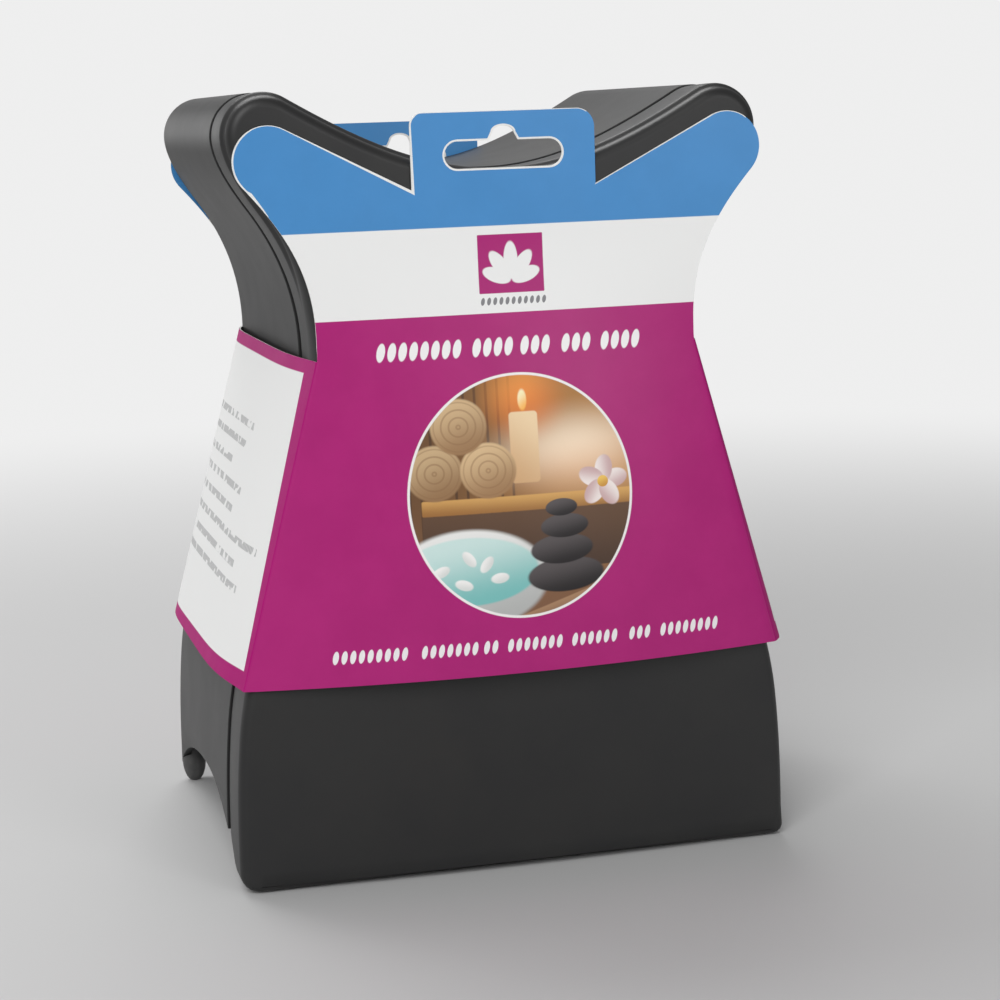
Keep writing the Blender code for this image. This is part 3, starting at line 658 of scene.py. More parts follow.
def roundedSquare(x, y, half, radius, steps):
    points = []
    for quadrant, (sx, sy) in enumerate(((1, 1), (-1, 1), (-1, -1), (1, -1))):
        centre = (x + sx * (half - radius), y + sy * (half - radius))
        turn = quadrant * quarterTurn
        points += arcPoints(centre, radius, turn, turn + quarterTurn, steps)
        points.append(onCircle(centre, radius, turn + quarterTurn))
    return points


def wallRoomHelpers(side):  # keeps a foot clear of the walls that end on it
    a, m, gap = arch, mould, feet["gap"]
    low, high, far = a["heel"] - gap, a["crest"][1] + overrun, overrun
    profile = [(y, z - gap / math.cos(a["leans"][1])) for y, z in archFall]
    profile += [(rear, low), (rear + far, low), (rear + far, high), (profile[0][0], high)]
    face = m["baseHalfWidth"] - m["wall"] - feet["coreGap"]
    reach = sorted((side * face - m["leftShift"], side * (m["baseHalfWidth"] + far) - m["leftShift"]))
    beside = makeObject("sideWallRoom", loft([[(x, y, z) for y, z in profile] for x in reach]))
    behind = block("rearWallRoom", (-m["baseHalfWidth"] - far, rear - m["wall"] - feet["coreGap"], low),
                   (m["baseHalfWidth"] + far, rear + far, high))
    return [beside, behind]


def buildRearFoot(name, side):
    f = feet
    x = side * (mould["baseHalfWidth"] - f["halfWidth"]) - mould["leftShift"]
    y = rear - f["halfWidth"] - f["gap"] / 2
    inset, height = f["rounding"]
    levels = []
    for k in range(f["roundSteps"] + 1):
        turn = quarterTurn * k / f["roundSteps"]
        levels.append((f["halfWidth"] - inset * (1 - math.sin(turn)), height * (1 - math.cos(turn))))
    levels.append((f["halfWidth"], f["height"]))
    rings = []
    for half, z in levels:
        square = roundedSquare(x, y, half, half * f["cornerShare"], f["cornerSteps"])
        rings.append([(px, py, z) for px, py in square])
    foot = makeObject(name, loft(rings))
    carve(foot, [], wallRoomHelpers(side), f["smoothAngle"])
    return foot


for side, word in ((-1, "Left"), (1, "Right")):
    foot = buildRearFoot(f"rearFoot{word}", side)
    foot.data.materials.append(footPlastic)
    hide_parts(f"foot_rear_{word.lower()}")
    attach(foot, "root")

screws = {
    "headRadius": 0.0034,
    "headHeight": 0.0020,
    "shankRadius": 0.0015,
    "length": 0.015,
    "tip": 0.002,
    "recess": (0.0036, 0.0008, 0.0010),   # length, width, depth
    "seatGap": 0.0003,
    "headEdge": 0.0002,
    "headShares": (0.45, 0.7),   # upright part of the head, and how full its dome is
    "domeSteps": (10, 8),   # in a quarter turn, and up to the flat
    "steps": 48,
    "smoothAngle": 35,
}


def buildScrew(name, x, z):
    s = screws
    seat, end = rear - posts["headRecess"][1] + s["seatGap"], s["length"]
    head, edge = s["headRadius"], s["headEdge"]
    (upright, fullness), (steps, last) = s["headShares"], s["domeSteps"]
    levels = [(s["shankRadius"] / 4, seat - end), (s["shankRadius"], seat - end + s["tip"])]
    levels += [(s["shankRadius"], seat), (head - edge, seat), (head, seat + edge)]
    for k in range(last + 1):
        turn = quarterTurn * k / steps
        rise = math.sin(turn) / math.sin(quarterTurn * last / steps)
        level = seat + s["headHeight"] * (upright + (1 - upright) * rise)
        levels.append((head * math.cos(turn) ** fullness, level))
    screw = cylinder(name, x, z, *zip(*levels), s["steps"])
    long, wide, deep = s["recess"]
    top, cuts = seat + s["headHeight"], []
    for word, a, b in (("Level", long / 2, wide / 2), ("Upright", wide / 2, long / 2)):
        cuts.append(block(name + word, (x - a, top - deep, z - b), (x + a, top + overrun, z + b)))
    carve(screw, [], cuts, s["smoothAngle"])
    screw.data.materials.append(zincPlatedSteel)
    return screw


for i, (x, z) in enumerate(postPlaces, 1):
    screw = buildScrew(f"coverScrew{i}", x, z)
    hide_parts(f"cover_screw_{i}")
    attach(screw, "root")

for word in ("left", "right"):  # the front pads keep their CAD shape
    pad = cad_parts[f"foot_front_{word}"]
    for place in pad.material_slots:
        place.material = footRubber
print("feet and screws made")


# board sleeve

sleeve = {
    "board": 0.0006,
    "face": 0.0709,
    "bottom": (0.0882, 0.0648),
    "top": (0.0608, 0.1650),
    "cardWaist": (0.0605, 0.1720),
    "cardHorn": (0.0726, 0.2253),
    "cardHornRadius": 0.0109,
    "cardHornStart": math.radians(-42),
    "cardSlope": math.radians(27.5),
    "cardShares": (0.36, 0.40),
    "cardSteps": (40, 32, 10),   # up to the horn, round it, and round the tab's corner
    "notch": (0.0292, 0.2153),
    "tabTop": 0.2385,
    "tabCorner": {-1: 0.0039, 1: 0.0057},
    "rearDrop": 0.0027,
    "rearSlotTrim": 0.002,   # the rear panel's slot ends a little earlier on the right
    "slot": (0.01865, 0.0083, 0.2254),   # half length, height, middle
    "slotSteps": (16, 8),   # round an end, and in a quarter turn of the hump
    "hump": (0.0047, 0.0034, 0.0043),   # half width at its foot and near its top, height
    "humpFoot": (0.93, 0.12),   # shares of the foot's half width and of the height
    "humpRound": 0.55,   # share of the height where the round top starts
    "bulge": 0.0096,
    "bulgeTop": 0.2000,
    "bulgePower": 1.5,
    "bow": {-1: (0.0053, -0.0012), 1: (0.0060, -0.0027)},   # at the lower edge, and how much more at the top
    "bowFullness": {-1: 5.5, 1: 11.0},
    "bowLean": {-1: 1.33, 1: 1.0},
    "rightFoldIn": 0.0011,   # the right fold lies further in at the lower edge
    "seat": (0.0005, 0.00115),   # the sleeve sits a little high and slightly askew
    "seatTurn": math.radians(0.2586),
    "foldRadius": 0.0009,
    "foldSteps": (0.25, 0.5, 0.75),
    "whiteLine": 0.00045,   # half the fold radius, so that its rows meet the folds' rows
    "slotLine": 1.3,   # the line's width round the slot, against left edges
    "levelLine": 0.5,   # and on level edges
    "levelSpan": (0.25, 0.75),   # how far an edge faces left where the line starts to widen, and is full
    "wedge": (0.2085, 0.2160, 2.1),   # below the left horn the line widens upward between these heights
    "wedgeStart": (0.2, 0.0008),   # its least width, and the height over which it ends
    "rightFacing": 0.6,   # edges that face right by more than this show no line
    "joinGap": 0.0004,   # the free edge's first point lies this far above the last row
    "columns": 44,
    "rows": 44,
    "waistRows": 16,
    "sideColumns": 40,
    "smoothAngle": 40,
}
finishPlaces = {"front": 0, "rear": 1, "side": 2, "inside": 3, "cutEdge": 6}


def foldHalfWidth(z, side=-1):
    (low, bottom), (high, top) = sleeve["bottom"], sleeve["top"]
    share = (z - bottom) / (top - bottom)
    foldIn = sleeve["rightFoldIn"] * min(max(1 - share, 0), 1) if side > 0 else 0
    return max(low + (high - low) * share, sleeve["cardWaist"][0]) - foldIn


def panelBulge(x, z):
    s = sleeve
    rise = min(max((s["bulgeTop"] - z) / (s["bulgeTop"] - s["bottom"][1]), 0), 1)
    across = 1 - min(abs(x) / foldHalfWidth(z), 1) ** 2
    return s["bulge"] * math.sin(quarterTurn * rise) ** s["bulgePower"] * across


def sideBow(side, share, z):
    s = sleeve
    rise = (z - s["bottom"][1]) / (s["top"][1] - s["bottom"][1])
    low, gain = s["bow"][side]
    return (low + gain * rise) * (1 - abs(2 * share ** s["bowLean"][side] - 1) ** s["bowFullness"][side])


def cardEdge(drop, side):  # half of a panel's free edge, from its waist up to the middle of the tab
    s, corner = sleeve, sleeve["tabCorner"][side]
    radius, start = s["cardHornRadius"], s["cardHornStart"]
    horn, notch = ((x, z - drop) for x, z in (s["cardHorn"], s["notch"]))
    edgeSteps, hornSteps, cornerSteps = s["cardSteps"]
    hornEnd, top = quarterTurn + s["cardSlope"], s["tabTop"] - drop
    tabCorner = (notch[0] - corner, top - corner)
    hornLow = onCircle(horn, radius, start)
    half = curvePoints(s["cardWaist"], quarterTurn, hornLow, start + quarterTurn, s["cardShares"], edgeSteps)
    half += arcPoints(horn, radius, start, hornEnd, hornSteps)
    half += [onCircle(horn, radius, hornEnd), notch]
    half += arcPoints(tabCorner, corner, 0, quarterTurn, cornerSteps)
    return half + [(tabCorner[0], top)]


def slotOutline(drop, trim=0):
    (halfLength, height, middle), (foot, shoulder, rise) = sleeve["slot"], sleeve["hump"]
    (inward, up), start, (endSteps, topSteps) = sleeve["humpFoot"], sleeve["humpRound"], sleeve["slotSteps"]
    middle, radius = middle - drop, height / 2
    end, edge = halfLength - radius, middle + radius
    points = arcPoints((end - trim, middle), radius, -quarterTurn, quarterTurn, endSteps)
    points += [(end - trim, edge), (foot, edge), (foot * inward, edge + rise * up)]
    for k in range(2 * topSteps + 1):
        x, z = onCircle((0, 0), 1, quarterTurn * k / topSteps)
        points.append((shoulder * x, edge + rise * (start + (1 - start) * z)))
    points += [(-foot * inward, edge + rise * up), (-foot, edge)]
    points += arcPoints((-end, middle), radius, quarterTurn, 3 * quarterTurn, endSteps)
    return points + [(-end, middle - radius)]


def insetLoop(points, widths):  # a closed loop moved inward; a negative width moves it outward
    return [(x + dx * w, z + dz * w) for (x, z), (dx, dz), w in zip(points, inwardSteps(points), widths)]


def lineWidths(points, facing):  # the pale cut shows most on edges that face left
    s, widths = sleeve, []
    (low, high, most), (least, fade) = s["wedge"], s["wedgeStart"]
    for (x, z), (dx, dz) in zip(points, inwardSteps(points)):
        share = s["levelLine"] + (1 - s["levelLine"]) * eased(dx / math.hypot(dx, dz), *s["levelSpan"])
        if facing < 0 and x < 0 and z < high + fade:
            share = least + (most - least) * min(max((z - low) / (high - low), 0), 1)
            share += (1 - share) * eased(z, high, high + fade)
        widths.append(s["whiteLine"] * share)
    return widths


def foldPoint(near, corner, far, share):  # on the rounded fold between two panels
    weights = ((1 - share) ** 2, 2 * share * (1 - share), share * share)
    return [sum(w * p[k] for w, p in zip(weights, (near, corner, far))) for k in (0, 1)]


def join(bm, low, high, finish):
    for i in range(len(low) - 1):
        face = bm.faces.new((low[i], low[i + 1], high[i + 1], high[i]))
        face.material_index = finishPlaces[finish]


def panelRow(bm, facing, z, halves, rounded):  # from left to right, the folds' outer halves included
    s, r, depth, row = sleeve, sleeve["foldRadius"], 2 * sleeve["face"], []
    for i in range(s["columns"] + 1):
        x = -(halves[0] - r) + (halves[0] + halves[1] - 2 * r) * i / s["columns"]
        row.append((x, facing * (s["face"] + panelBulge(x, z)), z))
    for side, halfWidth in zip((-1, 1), halves):
        near = row[0] if side < 0 else row[-1]
        corner = (side * halfWidth, facing * s["face"])
        if rounded:
            bend = sideBow(side, r / depth if facing < 0 else 1 - r / depth, z)
            far = (side * (halfWidth + bend), facing * (s["face"] - r))
            ends = [foldPoint(near, corner, far, share) for share in s["foldSteps"][:2]]
        else:
            ends = [((near[0] + corner[0]) / 2, corner[1]), corner]
        ends = [(*litPlace, z) for litPlace in ends]
        row = ends[::-1] + row if side < 0 else row + ends
    return [bm.verts.new(p) for p in row]


def sideRow(bm, side, z, halfWidth, frontEnd, rearEnd):  # from the front fold to the rear fold
    s, r, depth, middle, turns = sleeve, sleeve["foldRadius"], 2 * sleeve["face"], [], []
    for k in range(s["sideColumns"] + 1):
        share = r / depth + (1 - 2 * r / depth) * k / s["sideColumns"]
        middle.append((side * (halfWidth + sideBow(side, share, z)), depth * share - s["face"], z))
    for facing, end in ((-1, middle[0]), (1, middle[-1])):
        x = halfWidth - r
        near = (side * x, facing * (s["face"] + panelBulge(x, z)))
        corner = (side * halfWidth, facing * s["face"])
        turns.append((*foldPoint(near, corner, end, s["foldSteps"][2]), z))
    return [frontEnd] + [bm.verts.new(p) for p in (turns[0], *middle, turns[1])] + [rearEnd]


def foldedPart(bm):  # up to the top of the side panels; returns the last rows of the front and the rear
    s, below = sleeve, ()
    for k in range(s["rows"] + 1):
        z = s["bottom"][1] + (s["top"][1] - s["bottom"][1]) * k / s["rows"]
        halves = (foldHalfWidth(z, -1), foldHalfWidth(z, 1))
        frontRow, rearRow = panelRow(bm, -1, z, halves, True), panelRow(bm, 1, z, halves, True)
        left = sideRow(bm, -1, z, halves[0], frontRow[0], rearRow[0])
        right = sideRow(bm, 1, z, halves[1], frontRow[-1], rearRow[-1])
        panels = (frontRow, rearRow, left, right)
        for low, high, finish in zip(below, panels, ("front", "rear", "side", "side")):
            join(bm, low, high, finish)
        below = panels
    return below[:2]


def standingCard(bm, facing, last, finish, drop):  # a panel above the sides, with its tab and slot
    s, y, (top, bulgeTop) = sleeve, facing * sleeve["face"], (sleeve["top"][1], sleeve["bulgeTop"])
    edge, leftEdge = cardEdge(drop, 1), cardEdge(drop, -1)
    for k in range(1, s["waistRows"] + 1):
        z = top + (bulgeTop - top) * k / s["waistRows"]
        row = panelRow(bm, facing, z, (lineAt(edge, z, 1, foldHalfWidth(z)),) * 2, False)
        join(bm, last, row, finish)
        last = row
    start = next(i for i, p in enumerate(edge) if p[1] >= bulgeTop + s["joinGap"])
    loopPoints = [(v.co.x, v.co.z) for v in (last[0], last[-1])]
    loopPoints += edge[start:] + [(-x, z) for x, z in reversed(leftEdge[start:])]
    linePoints = insetLoop(loopPoints, lineWidths(loopPoints, facing))
    outer = [last[0], last[-1]] + [bm.verts.new((x, y, z)) for x, z in loopPoints[2:]]
    inner = [last[1], last[-2]] + [bm.verts.new((x, y, z)) for x, z in linePoints[2:]]
    for i in range(1, len(outer)):
        j = (i + 1) % len(outer)
        a, b = loopPoints[i], loopPoints[j]
        facesRight = (b[1] - a[1]) / math.dist(a, b) > s["rightFacing"]
        bare = facing > 0 or facesRight or min(a[1], b[1]) < s["wedge"][0]
        face = bm.faces.new((outer[i], outer[j], inner[j], inner[i]))
        face.material_index = finishPlaces[finish if bare else "cutEdge"]
    hole = slotOutline(drop, s["rearSlotTrim"] if facing > 0 else 0)
    holeLine = insetLoop(hole, [-s["whiteLine"] * s["slotLine"]] * len(hole))
    rim, line = ([bm.verts.new((x, y, z)) for x, z in points] for points in (hole, holeLine))
    join(bm, rim + rim[:1], line + line[:1], "cutEdge")
    field = []
    for chain in (inner[1:] + inner[:1], last[1:-1], line + line[:1]):
        for a, b in zip(chain, chain[1:]):
            field.append(bm.edges.get((a, b)) or bm.edges.new((a, b)))
    before = set(bm.faces)
    bmesh.ops.triangle_fill(bm, edges=field, use_beauty=True, use_dissolve=False, normal=(0, facing, 0))
    for face in set(bm.faces) - before:
        face.material_index = finishPlaces[finish]


def fillSleeve(bm):
    frontRow, rearRow = foldedPart(bm)
    standingCard(bm, -1, frontRow, "front", 0)
    standingCard(bm, 1, rearRow, "rear", sleeve["rearDrop"])


# print on the sleeve

inks = {
    "blue": (0.052, 0.248, 0.560),
    "magenta": (0.402, 0.004, 0.164),
    "white": (0.860, 0.862, 0.855),
    "titleWhite": (0.90, 0.89, 0.89),
    "lineWhite": (0.88, 0.86, 0.87),
    "ringWhite": (0.90, 0.88, 0.87),
    "board": (0.62, 0.61, 0.58),
    "cutEdge": (0.86, 0.86, 0.84),
    "grey": (0.22, 0.22, 0.23),
    "cloud": (60, 4, 0.6),
    "cloudStrength": {"blue": 0.20, "magenta": 0.25},
    "cloudTone": (1.25, 0.01),
}
gloss = {   # specular level, and the least and most roughness
    "panel": (0.45, 0.30, 0.42),
    "side": (0.09, 0.50, 0.58),
    "cutEdge": (0.70, 0.85),
    "noise": (130, 3),
}
paper = {   # scale and detail, strength and height of a relief
    "wave": (30, 1, 0.20, 0.004),
    "waveSquash": (1, 1, 0.25),
    "fibre": (1500, 3, 0.06, 0.0002),
    "rawNoise": (420, 4, 0.7),
    "rawTone": 1.12,
    "edgeNoise": (1600, 3),
    "edgeTone": 0.94,
}
bands = {
    "blueFrom": 0.2037,
    "whiteFrom": 0.1770,
    "softness": 0.00012,
    "innerSoftness": 0.0001,
}
badge = {
    "centre": (0.0011, 0.1920),
    "half": (0.0104, 0.0090),
    "corner": 0.0003,
    "flowerDrop": 0.0052,
    "flowerSize": 0.0112,
    "petals": ((0, 1.0), (0.62, 0.92), (-0.62, 0.92), (1.22, 0.80), (-1.22, 0.80)),   # lean, length
    "petalShape": (0.20, 0.52, 0.55),   # half width, half length and how far out, for a length of 1
    "petalSoftness": 0.07,
}
ringPicture = {"centre": (0.0008, 0.1204), "radii": (0.0359, 0.0377), "line": 0.0008, "softness": 0.004}
leafShape = {"lean": -0.22, "softness": 0.09}
titleRow = {
    "height": 0.1667,
    "leaf": (0.00128, 0.0029),
    "pitch": 0.0034,
    "words": ((-0.0428, 8), (-0.0128, 4), (0.0025, 3), (0.0158, 3), (0.0287, 4)),
}
lineRow = {
    "height": 0.0739,
    "leaf": (0.00088, 0.0021),
    "pitch": 0.00265,
    "words": ((-0.0612, 9), (-0.0338, 7), (-0.0142, 2), (-0.0065, 7), (0.0145, 6), (0.0338, 3), (0.0446, 8)),
}
badgeRow = {"height": 0.1806, "leaf": (0.0006, 0.0012), "pitch": 0.00196, "words": ((-0.0093, 11),)}
sideText = {
    "start": 0.058,
    "ends": ((0.1392, -0.0167), (0.1327, -0.0087), (0.1256, 0.0094), (0.1187, -0.0183), (0.1119, -0.0105),
             (0.1047, -0.0548), (0.0977, -0.0326), (0.0912, -0.0426)),   # height, end
    "halfHeight": 0.00115,
    "pitch": 0.0016,
    "dash": (-1.3, -0.2),
    "gapScale": 240,
    "gap": (0.38, 0.44),
    "strength": 0.65,
}
sideField = {"low": 0.0694, "high": 0.1609, "frontLow": -0.0669, "frontHigh": -0.0610, "lowTilt": -0.015,
             "softness": 0.00015}


def flatPoint(tree, u, v):
    return addNode(tree, "ShaderNodeCombineXYZ", {"X": u, "Y": v, "Z": 0.0}).outputs[0]


def localPoint(tree, point, centre, size=(1, 1), turn=0.0):
    inputs = {"Vector": point, "Location": (*centre, 0), "Rotation": (0, 0, turn), "Scale": (*size, 1)}
    return addNode(tree, "ShaderNodeMapping", inputs, vector_type="TEXTURE").outputs[0]


def ovalMask(tree, local, softness):  # local is 1 at the oval's rim
    return step(tree, lengthOf(tree, local), 1 + softness, 1 - softness)


def slabMask(tree, local, half, corner, softness):
    folded = vectorCalc(tree, "ABSOLUTE", local)[0]
    out = vectorCalc(tree, "SUBTRACT", folded, (half[0] - corner, half[1] - corner, 0))[0]
    out = vectorCalc(tree, "MAXIMUM", out, (0, 0, 0))[0]
    return step(tree, lengthOf(tree, out), corner + softness, corner - softness)


def between(tree, value, low, high):
    return product(tree, calc(tree, "GREATER_THAN", value, low), calc(tree, "LESS_THAN", value, high))


def leafRow(tree, u, v, row):  # a garland of slanted leaves, in groups
    words, pitch = [], row["pitch"]
    for start, count in row["words"]:
        inside = between(tree, u, start, start + count * pitch)
        cell = calc(tree, "MODULO", calc(tree, "SUBTRACT", u, start - 10 * pitch), pitch)
        middle = (pitch / 2, row["height"])
        local = localPoint(tree, flatPoint(tree, cell, v), middle, row["leaf"], leafShape["lean"])
        words.append(product(tree, inside, ovalMask(tree, local, leafShape["softness"])))
    return strongest(tree, words)


def lotus(tree, point, centre, size):  # a plain five-petalled flower
    petals, (halfWidth, halfLength, out) = [], badge["petalShape"]
    for turn, length in badge["petals"]:
        reach = size * length * out
        middle = (centre[0] - math.sin(turn) * reach, centre[1] + math.cos(turn) * reach)
        local = localPoint(tree, point, middle, (size * halfWidth, size * length * halfLength), turn)
        petals.append(ovalMask(tree, local, badge["petalSoftness"]))
    return strongest(tree, petals)


def shaded(tree, canvas, mask, local, light, reach, colours):  # dark on one side, pale towards the light
    split = vectorCalc(tree, "DOT_PRODUCT", local, (*light, 0))["Value"]
    return mixed(tree, mask, canvas, mixed(tree, step(tree, split, -reach, reach), *colours))


def paintOval(tree, canvas, point, centre, radii, colours, turn=0.0, softness=0.05, strength=1.0):
    local = localPoint(tree, point, centre, radii, turn)
    mask = product(tree, ovalMask(tree, local, softness), strength)
    return shaded(tree, canvas, mask, local, (-0.3, 0.9), 0.9, colours)


def paintSlab(tree, canvas, point, centre, half, colours, turn=0.0, corner=0.0006, softness=0.00025):
    local = localPoint(tree, point, centre, (1, 1), turn)
    mask = slabMask(tree, local, half, corner, softness)
    return shaded(tree, canvas, mask, local, (0.25 / half[0], 0.75 / half[1]), 1, colours)


backdrop = {
    "left": (0.150, 0.070, 0.026),
    "right": (0.440, 0.200, 0.045),
    "below": (0.210, 0.100, 0.050),
    "slat": (0.065, 0.028, 0.012),
    "slatPitch": 62.0,
    "slatStrength": 0.75,
}
towels = {
    "places": ((-27.5, 8.5, 0.86), (-10.5, 8.5, 1.0), (-19.2, 22.4, 0.94)),   # middle, tone
    "size": (8.9, 8.6),
    "colours": ((0.36, 0.20, 0.09), (0.700, 0.490, 0.270)),
    "fold": (0.30, 0.16, 0.07),
    "foldPitch": 23.0,
    "foldStrength": 0.5,
}
flower = {"centre": (26.5, 2.6), "reach": 4.0, "petals": 5, "turn": 0.2}
petalTurns = [math.tau * k / flower["petals"] + flower["turn"] for k in range(flower["petals"])]
# the rest of the picture: kind, middle and half size in mm, dark and pale colour, and what differs from plain
behindTowels = [
    (paintOval, (20, 12), (20, 10), (0.80, 0.50, 0.30), (1.0, 0.82, 0.62), {"softness": 0.9}),
    (paintSlab, (8, -2.2), (40, 2.4), (0.340, 0.150, 0.038), (0.700, 0.390, 0.120), {}),
    (paintSlab, (8, -14), (40, 9.4), (0.060, 0.030, 0.018), (0.130, 0.066, 0.034), {}),
    # candle with its flame
    (paintOval, (1.5, 31), (9, 9), (0.9, 0.22, 0.03), (1.0, 0.36, 0.06), {"softness": 0.95, "strength": 0.8}),
    (paintSlab, (1.5, 15), (4.6, 11), (0.66, 0.40, 0.20), (0.90, 0.68, 0.42), {"corner": 0.0012}),
    (paintOval, (1.5, 29.6), (1.4, 3.2), (1.0, 0.50, 0.10), (1.0, 0.90, 0.55), {"softness": 0.2}),
]
beforeTowels = [
    # bowl of water with petals
    (paintOval, (-18, -25), (25, 15.5), (0.46, 0.47, 0.46), (0.84, 0.84, 0.82), {}),
    (paintOval, (-18, -22.5), (22, 10.6), (0.190, 0.520, 0.500), (0.620, 0.800, 0.770), {"softness": 0.04}),
    *((paintOval, (u, v), (2.9, 1.6), (0.72, 0.74, 0.72), (0.93, 0.92, 0.90), {"turn": turn, "softness": 0.15})
      for u, v, turn in ((-27, -22, 0.4), (-20, -26.5, -0.3), (-12.5, -20.5, 0.9), (-18, -18.5, -0.9),
                         (-8.5, -25, 0.1))),
    # tray and stones
    (paintSlab, (19, -33.5), (24, 2.6), (0.200, 0.100, 0.052), (0.420, 0.240, 0.130),
     {"turn": 0.30, "corner": 0.0008}),
    *((paintOval, (u, v), half, (0.012, 0.009, 0.010), (0.095, 0.082, 0.084), {"turn": 0.03})
      for u, v, *half in ((13, -25.5, 12.5, 5.4), (12, -17.4, 10.2, 4.6), (13.2, -10.2, 7.8, 3.7),
                          (12.4, -4.4, 5.2, 2.7))),
    *((paintOval, onCircle(flower["centre"], flower["reach"], turn), (4.3, 2.9), (0.62, 0.42, 0.42),
       (0.92, 0.83, 0.80), {"turn": turn, "softness": 0.08}) for turn in petalTurns),
    (paintOval, flower["centre"], (1.8, 1.8), (0.62, 0.30, 0.05), (0.90, 0.58, 0.12), {}),
]


def paintPicture(tree, point):  # a still life: rolled towels, stones, a candle, a flower and a bowl of water
    mm, (cx, cz), b, t = 0.001, ringPicture["centre"], backdrop, towels
    axes = axesOf(tree, localPoint(tree, point, (cx, cz), ringPicture["radii"]))
    across, up = axes["X"], axes["Y"]
    canvas = mixed(tree, step(tree, across, -1, 0.9), b["left"], b["right"])
    canvas = mixed(tree, step(tree, up, 0.2, -1.0), canvas, b["below"])
    slats = step(tree, calc(tree, "SINE", product(tree, across, b["slatPitch"])), 0.55, 0.95)
    slats = product(tree, slats, step(tree, across, 0.02, -0.06), b["slatStrength"])
    canvas = mixed(tree, slats, canvas, b["slat"])

    def inPlace(u, v):
        return (cx + u * mm, cz + v * mm)

    def paintAll(canvas, pieces):
        for paint, middle, (wide, tall), dark, pale, more in pieces:
            half = (wide * mm, tall * mm)
            canvas = paint(tree, canvas, point, inPlace(*middle), half, (dark, pale), **more)
        return canvas

    canvas = paintAll(canvas, behindTowels)
    for u, v, tone in t["places"]:
        colours = [toned(colour, tone) for colour in t["colours"]]
        canvas = paintAll(canvas, [(paintOval, (u, v), t["size"], *colours, {})])
        reach = lengthOf(tree, localPoint(tree, point, inPlace(u, v), [half * mm for half in t["size"]]))
        folds = step(tree, calc(tree, "SINE", product(tree, reach, t["foldPitch"])), 0.5, 1.0)
        folds = product(tree, folds, step(tree, reach, 0.95, 0.85), t["foldStrength"])
        canvas = mixed(tree, folds, canvas, toned(t["fold"], tone))
    return paintAll(canvas, beforeTowels)


def finishPrint(tree, shader, colour, point, which="panel"):
    specular, *span = gloss[which]
    stretched = addNode(tree, "ShaderNodeMapping", {"Vector": point, "Scale": paper["waveSquash"]}).outputs[0]
    fibres = relief(tree, point, *paper["fibre"], relief(tree, stretched, *paper["wave"]))
    dress(tree, shader, colour, noise(tree, point, *gloss["noise"]), span, fibres)
    shader.inputs["Specular IOR Level"].default_value = specular


def tinted(tree, ink, point):  # slight unevenness of the ink
    share = product(tree, clouds(tree, point, *inks["cloud"]), inks["cloudStrength"][ink])
    return mixed(tree, share, inks[ink], toned(inks[ink], *inks["cloudTone"]))


def bandAbove(tree, height, start, below, above, softness):
    return mixed(tree, step(tree, height, start - softness, start + softness), below, above)


def panelMaterial(name, facing):
    material, tree, shader = newMaterial(name)
    place, soft, ring = objectPoint(tree), bands["softness"], ringPicture
    axes = axesOf(tree, place)
    u = axes["X"] if facing < 0 else product(tree, axes["X"], -1.0)
    v = axes["Z"]
    point = flatPoint(tree, u, v)
    colour = bandAbove(tree, v, bands["whiteFrom"], tinted(tree, "magenta", place), inks["white"], soft)
    colour = bandAbove(tree, v, bands["blueFrom"], colour, tinted(tree, "blue", place), soft)
    square = slabMask(tree, localPoint(tree, point, badge["centre"]), badge["half"], badge["corner"], soft)
    colour = mixed(tree, square, colour, inks["magenta"])
    flowerFoot = (badge["centre"][0], badge["centre"][1] - badge["flowerDrop"])
    colour = mixed(tree, lotus(tree, point, flowerFoot, badge["flowerSize"]), colour, inks["white"])
    for row, ink in ((badgeRow, "grey"), (titleRow, "titleWhite"), (lineRow, "lineWhite")):
        colour = mixed(tree, leafRow(tree, u, v, row), colour, inks[ink])
    for side, filling in ((1, inks["ringWhite"]), (-1, paintPicture(tree, point))):
        radii = [radius + side * ring["line"] / 2 for radius in ring["radii"]]
        disc = ovalMask(tree, localPoint(tree, point, ring["centre"], radii), ring["softness"])
        colour = mixed(tree, disc, colour, filling)
    finishPrint(tree, shader, colour, place)
    return material


def sideMaterial(name):
    material, tree, shader = newMaterial(name)
    place, s, t = objectPoint(tree), sideField, sideText
    axes, soft = axesOf(tree, place), s["softness"]
    y, z = axes["Y"], axes["Z"]
    lean = (s["frontHigh"] - s["frontLow"]) / (s["high"] - s["low"])
    border = calc(tree, "MULTIPLY_ADD", calc(tree, "SUBTRACT", z, s["low"]), lean, s["frontLow"])
    above = calc(tree, "SUBTRACT", z, calc(tree, "MULTIPLY_ADD", y, s["lowTilt"], s["low"]))
    field = product(
        tree,
        step(tree, calc(tree, "SUBTRACT", y, border), -soft, soft),
        step(tree, calc(tree, "ADD", y, border), soft, -soft),
        step(tree, above, -soft, soft),
        step(tree, z, s["high"] + soft, s["high"] - soft),
    )
    colour = mixed(tree, field, tinted(tree, "magenta", place), inks["white"])
    lines = []
    for height, end in t["ends"]:
        away = calc(tree, "ABSOLUTE", calc(tree, "SUBTRACT", z, height))
        thick = step(tree, away, t["halfHeight"] + soft, t["halfHeight"] - soft)
        lines.append(product(tree, between(tree, y, end, t["start"]), thick))
    dashes = step(tree, calc(tree, "SINE", product(tree, y, math.tau / t["pitch"])), *t["dash"])
    gaps = step(tree, noise(tree, flatPoint(tree, y, z), t["gapScale"], 0), *t["gap"])
    text = product(tree, strongest(tree, lines), dashes, gaps, t["strength"])
    finishPrint(tree, shader, mixed(tree, text, colour, inks["grey"]), place, "side")
    return material


